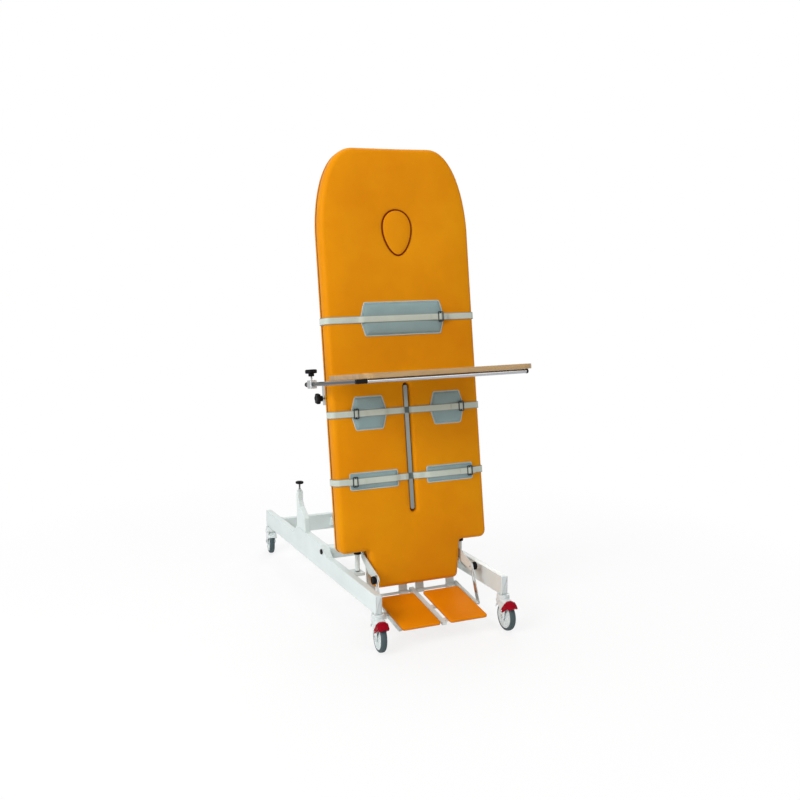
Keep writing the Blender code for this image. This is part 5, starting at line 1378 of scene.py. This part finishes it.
def build_fork(name, stem):
    """Moulded fork: a hood over the wheel whose cheeks run down to the axle, under a ringed swivel head."""
    steps = 12
    cover = 78 if CASTORS[name][1] else 116
    wall, clear = 0.0032, 0.0642
    bm = bmesh.new()
    angles, rows = [], []
    for k in range(steps + 1):
        angle = radians(28 + cover * k / steps)
        reach = 0.0668 + 0.0035 * sin(pi * k / steps)
        half = 0.0205 - 0.0035 * (k / steps) ** 2
        row = []
        for u in range(steps + 1):
            across = -1 + 2 * u / steps
            fall = abs(across) ** 5 * 0.010
            out = reach + 0.0035 - fall
            row.append((across * half * (1.22 + 0.04 * (1 - abs(across))), AXLE.y + out * cos(angle),
                        AXLE.z + out * sin(angle)))
        angles.append(angle)
        rows.append(row)
    outer = [[bm.verts.new(p) for p in row] for row in rows]
    inner = []
    for row, angle in zip(rows, angles):
        line = []
        for u, (x, y, z) in enumerate(row):
            out = sqrt((y - AXLE.y) ** 2 + (z - AXLE.z) ** 2) - wall
            out = max(out, clear) if 1 < u < steps - 1 else out
            line.append(bm.verts.new((x * 0.90, AXLE.y + out * cos(angle), AXLE.z + out * sin(angle))))
        inner.append(line)
    for grid, flip in ((outer, False), (inner, True)):
        for a, b in zip(grid, grid[1:]):
            for i in range(steps):
                face = (a[i], a[i + 1], b[i + 1], b[i])
                bm.faces.new(tuple(reversed(face)) if flip else face)
    for k in range(steps):
        for side in (0, steps):
            bm.faces.new((outer[k][side], outer[k + 1][side], inner[k + 1][side], inner[k][side]))
    for row in (0, steps):
        for i in range(steps):
            bm.faces.new((outer[row][i], outer[row][i + 1], inner[row][i + 1], inner[row][i]))
    finished("castor_hood_" + name, bm, fork_plastic, "castor_" + name, smooth=50,
             place=stem)
    cheeks = bmesh.new()
    for side in (-1, 1):
        outline = arc(0.0150, pi * 0.86, 2 * pi + 0.20, 12, (AXLE.y, AXLE.z))
        outline += [(AXLE.y + ahead, height) for ahead, height in
                    ((0.034, 0.100), (0.058, 0.118), (0.052, 0.1285), (0.010, 0.1300), (-0.020, 0.1245),
                     (-0.019, 0.100))]
        append(cheeks, plate_solid(outline, side * 0.0168, side * 0.0222, 0.0012))
    finished("castor_cheeks_" + name, cheeks, fork_plastic, "castor_" + name, ["castor_fork_" + name],
             40, stem)
    head = [(0, 0.1276), (0.0255, 0.1276), (0.0273, 0.1288), (0.0278, 0.1310), (0.0278, 0.1352),
            (0.0264, 0.1360), (0.0264, 0.1370), (0.0278, 0.1378), (0.0278, 0.1420), (0.0264, 0.1428),
            (0.0264, 0.1438), (0.0272, 0.1444), (0.0268, 0.1488), (0.0258, 0.1495), (0, 0.1495)]
    finished("castor_head_" + name, lathe(head, 56), fork_plastic, "castor_" + name,
             smooth=35, place=stem)
    cap = [(0, 0.0), (0.0085, 0.0), (0.0085, 0.0016), (0.0074, 0.0028), (0.0046, 0.0032), (0.0040, 0.0022),
           (0, 0.0022)]
    side_pins("axle_cap_" + name, cap, 32, (0.0224, AXLE.y, AXLE.z), "castor_" + name, stem)


def side_pins(name, profile, count, spot, body, stem):
    """A turned pin or cap on each side of the fork, facing outwards."""
    out, y, z = spot
    for word, side in (("outer", -1), ("inner", 1)):
        place = stem @ Matrix.Translation((side * out, y, z)) @ Matrix.Rotation(side * pi / 2, 4, "Y")
        finished(name + "_" + word, lathe(profile, count), zinc_steel, body, place=place)


def plate_solid(outline, first, second, edge):
    """A plate between two x values with chamfered rims, from an outline in y and z."""
    low, high = min(first, second), max(first, second)
    loop = np.array(outline)
    area = 0.5 * np.sum(loop[:, 0] * np.roll(loop[:, 1], -1) - np.roll(loop[:, 0], -1) * loop[:, 1])
    if area < 0:
        loop = loop[::-1]
    small = moved_in(loop, edge)
    bm = bmesh.new()
    levels = ((small, low), (loop, low + edge), (loop, high - edge), (small, high))
    bridged(bm, [[bm.verts.new((x, y, z)) for y, z in ring] for ring, x in levels], True)
    bmesh.ops.recalc_face_normals(bm, faces=bm.faces)
    return bm


def build_pedal(name, stem):
    """Red brake pedal: a rounded shell with a turned-up lip, on two cheeks from the fork's pins."""
    along_steps, across_steps = 14, 12
    crown, wall, clear = 0.0745, 0.0062, 0.0668
    bm = bmesh.new()
    rows = []
    for k in range(along_steps + 1):
        share = k / along_steps
        angle = pi - radians(38 + 36 * share)
        lift = 0.0090 * max(0.0, 1 - k / 2.6) ** 1.6
        end = min(1.0, share / 0.12) if share < 0.12 else min(1.0, (1 - share) / 0.16)
        half = 0.0224 * (0.84 + 0.16 * sqrt(1 - (1 - end) ** 2)) - 0.0012 * share
        row_out, row_in = [], []
        for u in range(across_steps + 1):
            across = -1 + 2 * u / across_steps
            fall = 0.0062 * abs(across) ** 3.2
            ridge = 0.0007 if 4 < k < 13 and k % 2 and abs(across) < 0.72 else 0.0
            out = crown + lift - fall + ridge
            inward = max(out - wall, clear) - 0.0030 * abs(across) ** 6
            for row, reach, wide in ((row_out, out, 1.0), (row_in, inward, 0.93)):
                row.append(bm.verts.new((across * half * wide, AXLE.y + reach * cos(angle),
                                         AXLE.z + reach * sin(angle))))
        rows.append((row_out, row_in))
    for (a_out, a_in), (b_out, b_in) in zip(rows, rows[1:]):
        for i in range(across_steps):
            bm.faces.new((a_out[i], a_out[i + 1], b_out[i + 1], b_out[i]))
            bm.faces.new((b_in[i], b_in[i + 1], a_in[i + 1], a_in[i]))
        for edge in (0, across_steps):
            bm.faces.new((a_out[edge], b_out[edge], b_in[edge], a_in[edge]))
    for row_out, row_in in (rows[0], rows[-1]):
        for i in range(across_steps):
            bm.faces.new((row_out[i], row_out[i + 1], row_in[i + 1], row_in[i]))
    finished("pedal_tread_" + name, bm, pedal_plastic, "pedal_" + name, ["brake_pedal_" + name],
             50, stem)
    cheeks = bmesh.new()
    pivot = (AXLE.y, AXLE.z + PEDAL_PIVOT_RISE)
    for side in (-1, 1):
        fan = arc(0.0685, pi - radians(70), pi - radians(44), 8, (AXLE.y, AXLE.z))
        boss = arc(0.0084, pi + 0.9, 2 * pi + 0.9, 12, pivot)
        append(cheeks, plate_solid(fan + boss, side * 0.0222, side * 0.0247, 0.0005))
    finished("pedal_cheeks_" + name, cheeks, pedal_plastic, "pedal_" + name, place=stem)
    pin = [(0, 0.0), (0.0040, 0.0), (0.0040, 0.0008), (0.0032, 0.0016), (0, 0.0018)]
    side_pins("pedal_pin_" + name, pin, 20, (0.0249, *pivot), "castor_" + name, stem)


# Base and bed details

def base_point(x, y, z):
    return ORIGIN + Vector((x, y, z))


def tube_cap(name, centre, size, axis, body, finish):
    """Plastic end plug of a rectangular tube, with a rounded face."""
    outer = np.array(rounded(rectangle(size[0] / 2, size[1] / 2), 0.003, 3))
    bm = bmesh.new()
    rings = [[bm.verts.new((a, b, height)) for a, b in moved_in(outer, shrink)]
             for shrink, height in ((0, 0), (0, 0.0012), (0.0012, 0.0024), (0.0040, 0.0030))]
    bridged(bm, rings, True)
    finished(name, bm, finish, body, place=facing(centre, axis))


def weld(name, corners, body, radius=0.0020):
    """Closed weld bead with its row of ripples."""
    dense = []
    for start, end in zip(corners, corners[1:] + corners[:1]):
        steps = max(2, int((end - start).length / 0.0022))
        dense += [start.lerp(end, k / steps) for k in range(steps)]
    turns = [2 * pi * k / 8 for k in range(8)]
    bm = bmesh.new()
    rings = []
    for i, point in enumerate(dense):
        heading = (dense[(i + 1) % len(dense)] - dense[i - 1]).normalized()
        side = heading.orthogonal().normalized()
        lift = heading.cross(side)
        size = radius * (1 + 0.12 * sin(i * pi * 0.9))
        rings.append([bm.verts.new(point + side * size * cos(turn) + lift * size * sin(turn))
                      for turn in turns])
    bridged(bm, rings + rings[:1])
    # Weld beads wear the darker copy of the white coat: painted shade.
    finished(name, bm, shade_paint, body)


def build_base_details():
    """End caps, welds, stops and screws of the base."""
    for word, side in (("left", -1), ("right", 1)):
        x = side * BEAM_CENTRE
        for end, y, axis in (("front", BASE_FRONT, (0, -1, 0)), ("rear", BASE_REAR, (0, 1, 0))):
            tube_cap("beam_cap_%s_%s" % (end, word), base_point(x, y, BEAM_TOP - 0.040), (0.029, 0.079), axis,
                     "base", hub_plastic)
        for label, y, half, low, high in (("rear", 1.040, 0.015, BEAM_TOP - 0.080, BEAM_TOP),
                                          ("mid", 0.385, 0.030, BEAM_TOP - 0.018, BEAM_TOP + 0.032)):
            corners = [base_point(side * BEAM_INNER, y + a, z) for a, z in
                       ((-half, low), (half, low), (half, high), (-half, high))]
            weld("weld_%s_%s" % (label, word), corners, "base", 0.0022)
        half, near, far = POST_FOOT
        foot = [base_point(side * (BEAM_CENTRE + a), b, SADDLE_TOP + 0.0003) for a, b in
                ((-half, far), (-half, near), (half, near), (half, far))]
        weld("weld_post_" + word, foot, "base")
        post_y, post_top = POST_PLACE
        collar = lathe([(0.0042, 0), (0.0098, 0), (0.0098, 0.0020), (0.0076, 0.0060), (0.0060, 0.0072),
                        (0.0042, 0.0072), (0.0042, 0)], 24)
        finished("rear_stop_nut_" + word, collar, white_paint, "base",
                 place=Matrix.Translation(base_point(x, post_y, post_top + 0.001)))
        thread = []
        foot_z, end_z, pitch = post_top + 0.0090, post_top + 0.0337, 0.0019
        for k in range(13):
            z = foot_z + k * pitch
            thread += [(0.0037, z), (0.0044, z + 0.0007), (0.0044, z + 0.0010), (0.0037, z + 0.0017)]
        screw = lathe([(0, foot_z)] + thread + [(0.0037, end_z), (0, end_z)], 18)
        finished("rear_stop_screw_" + word, screw, screw_steel, "base",
                 place=Matrix.Translation(base_point(x, post_y, 0)))
        build_front_stop(word)
    bolts = [base_point(side * 0.191, 0.40, SADDLE_TOP - 0.0079) for side in (-1, 1)]
    screws("upright_screws", bolts, 0.006, 0.004, (0, 0, 1), "base")


def build_front_stop(word):
    """Sleeve round the front stop's rod, under its rubber cap."""
    low, high = (Vector(c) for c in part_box("front_buffer_" + word))
    foot = BEAM_TOP + ORIGIN.z - low.z + 0.0012
    head = high.z - low.z - 0.0113
    sleeve = lathe([(0.0092, foot), (0.0116, foot), (0.0116, foot + 0.004), (0.0100, foot + 0.006),
                    (0.0100, head - 0.0006), (0.0092, head), (0.0092, foot)], 32)
    # The sleeve wears the darker copy of the white coat made for painted shade.
    finished("front_stop_sleeve_" + word, sleeve, shade_paint, "base",
             place=Matrix.Translation(((low.x + high.x) / 2, (low.y + high.y) / 2, low.z)))


def build_bed_details():
    """Screws, end caps and welds of the bed's rails and of the work board's arm."""
    heads = [bed_point(side * RAIL_X, s, -0.1206) for side in (-1, 1)
             for s in (0.23, 0.52, 0.86, 1.20, 1.52, 1.68)]
    screws("rail_screws", heads, 0.0065, 0.0045, -FACE_AXIS, "bed")
    for word, side in (("left", -1), ("right", 1)):
        tube_cap("rail_cap_head_" + word, bed_point(side * RAIL_X, 1.720, -0.1006), (0.029, 0.039), UP_AXIS,
                 "bed", black_plastic)
        for label, s in (("upper", 1.560), ("pivot", 0.239)):
            corners = [bed_point(side * RAIL_INNER, s + a, b) for a, b in
                       ((0, -0.0810), (0.040, -0.0810), (0.040, -0.1205), (0, -0.1205))]
            weld("weld_%s_%s" % (label, word), corners, "bed")
    cap = lathe([(0.0064, 0.0), (0.0103, 0.0), (0.0103, 0.010), (0.0095, 0.0125), (0.0062, 0.0138),
                 (0, 0.0140)], 32)
    low, high = (Vector(c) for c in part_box("side_arm"))
    arm_x = (low.x + high.x) / 2
    rear = bed_point(arm_x - ORIGIN.x, 0.891, -0.156)
    finished("side_arm_cap", cap, black_plastic, "tray",
             place=facing(rear + FACE_AXIS * 0.010, -FACE_AXIS))
    rail_low, rail_high = (Vector(c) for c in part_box("front_rail"))
    end_cap = lathe([(0.0064, 0.0), (0.0098, 0.0), (0.0098, 0.006), (0.0090, 0.0078), (0.0050, 0.0086),
                     (0, 0.0088)], 32)
    finished("front_rail_cap", end_cap, black_plastic, "tray",
             place=facing(Vector((rail_high.x - 0.005, (rail_low.y + rail_high.y) / 2,
                                  (rail_low.z + rail_high.z) / 2)), (1, 0, 0), Vector((0, 1, 0))))
    clips = [bed_point(x, 0.9005, 0.30) for x in (-0.22, 0.22)]
    screws("board_screws", clips, 0.0045, 0.003, -UP_AXIS, "tray")


# Stage, light and camera

WORLD_LIGHT = 0.42
LAMPS = (
    ("window_left", (-4.2, -2.2, 3.4), (0, 0, 1.0), 2.6, 172),
    ("front_fill", (1.5, -5.2, 3.6), (0, 0, 0.9), 3.0, 38),
    ("top_soft", (0.3, 0.4, 5.2), (0, 0, 0.6), 3.0, 70),
    ("back_edge", (2.4, 3.4, 2.4), (0, 0, 1.0), 2.0, 40),
)
SENSOR_WIDTH = 36
FOCAL_PIXELS = 1087.35
PHOTO_WIDTH = 800
CAMERA_PLACE = (-1.943, -4.093, 1.712)
CAMERA_DOWN = 9.25
CAMERA_TURN = -24.34


def build_stage():
    """White floor that keeps the table's shadow close by and fades to plain white further off."""
    bpy.ops.mesh.primitive_plane_add(size=60)
    floor = bpy.context.active_object
    floor.name = "floor"
    f = Finish("floor_white", (0.90, 0.90, 0.90), 0.9)
    away = f.nodes.new("ShaderNodeVectorMath")
    away.operation = "LENGTH"
    f.links.new(f.place(), away.inputs[0])
    lit = f.spread(away.outputs["Value"], 0.80, 1.0, 0.9, 2.4)
    path = f.nodes.new("ShaderNodeLightPath")
    seen = maths(f, "MAXIMUM", path.outputs["Is Camera Ray"],
                 maths(f, "MULTIPLY", path.outputs["Is Glossy Ray"], 0.55))
    seen = maths(f, "MAXIMUM", seen, path.outputs["Is Transmission Ray"])
    share = maths(f, "MULTIPLY", seen, lit)
    glow = f.nodes.new("ShaderNodeEmission")
    glow.inputs["Strength"].default_value = 1.0
    glow.inputs["Color"].default_value = (1, 1, 1, 1)
    mix = f.nodes.new("ShaderNodeMixShader")
    f.links.new(share, mix.inputs[0])
    f.links.new(f.shader.outputs[0], mix.inputs[1])
    f.links.new(glow.outputs[0], mix.inputs[2])
    f.links.new(mix.outputs[0], f.nodes["Material Output"].inputs["Surface"])
    floor.data.materials.append(f.material)


def build_world():
    """White where it is seen, dimmer as light, and a darker ceiling in bright metal."""
    world = bpy.data.worlds.new("studio")
    bpy.context.scene.world = world
    world.use_nodes = True
    tree = world.node_tree
    background = tree.nodes["Background"]
    background.inputs["Color"].default_value = (1, 1, 1, 1)
    heading = tree.nodes.new("ShaderNodeTexCoord")
    split = tree.nodes.new("ShaderNodeSeparateXYZ")
    tree.links.new(heading.outputs["Generated"], split.inputs[0])
    ceiling = tree.nodes.new("ShaderNodeMapRange")
    for socket, value in (("From Min", 0.30), ("From Max", 0.62), ("To Min", 1.0), ("To Max", 0.30)):
        ceiling.inputs[socket].default_value = value
    tree.links.new(split.outputs[2], ceiling.inputs["Value"])
    path = tree.nodes.new("ShaderNodeLightPath")
    plain_seen = maths(tree, "MAXIMUM", path.outputs["Is Camera Ray"], path.outputs["Is Transmission Ray"])
    bright = maths(tree, "MULTIPLY", path.outputs["Is Glossy Ray"], ceiling.outputs["Result"])
    unseen = maths(tree, "SUBTRACT", 1.0, maths(tree, "MAXIMUM", plain_seen, path.outputs["Is Glossy Ray"]))
    light = maths(tree, "MULTIPLY_ADD", unseen, WORLD_LIGHT, maths(tree, "MAXIMUM", plain_seen, bright))
    tree.links.new(light, background.inputs["Strength"])


def build_lights():
    """Soft lamps, the strongest from the left as in the photograph."""
    for name, place, target, size, power in LAMPS:
        data = bpy.data.lights.new(name, "AREA")
        data.size = size
        data.energy = power
        lamp = bpy.data.objects.new(name, data)
        bpy.context.collection.objects.link(lamp)
        lamp.location = place
        lamp.rotation_euler = (Vector(target) - Vector(place)).to_track_quat("-Z", "Y").to_euler()


def build_camera():
    """The photograph's viewing place, solved from the table's straight edges."""
    data = bpy.data.cameras.new("photo_view")
    data.sensor_fit = "HORIZONTAL"
    data.sensor_width = SENSOR_WIDTH
    data.lens = SENSOR_WIDTH * FOCAL_PIXELS / PHOTO_WIDTH
    data.clip_end = 100
    camera = bpy.data.objects.new("photo_view", data)
    bpy.context.collection.objects.link(camera)
    camera.location = ORIGIN + Vector(CAMERA_PLACE)
    camera.rotation_euler = (radians(90 - CAMERA_DOWN), 0, radians(CAMERA_TURN))
    bpy.context.scene.camera = camera


build_camera()
dress_frame()
build_mattress()
build_plug()
build_wrap()
build_straps()
for word, side in (("left", -1), ("right", 1)):
    build_foot_plate(word, side)
build_knobs()
for castor in CASTORS:
    build_castor(castor)
build_base_details()
build_bed_details()
build_stage()
build_world()
build_lights()
bpy.context.scene.view_settings.view_transform = "Standard"


def plain(box):
    return [[float(v) for v in corner] for corner in box]
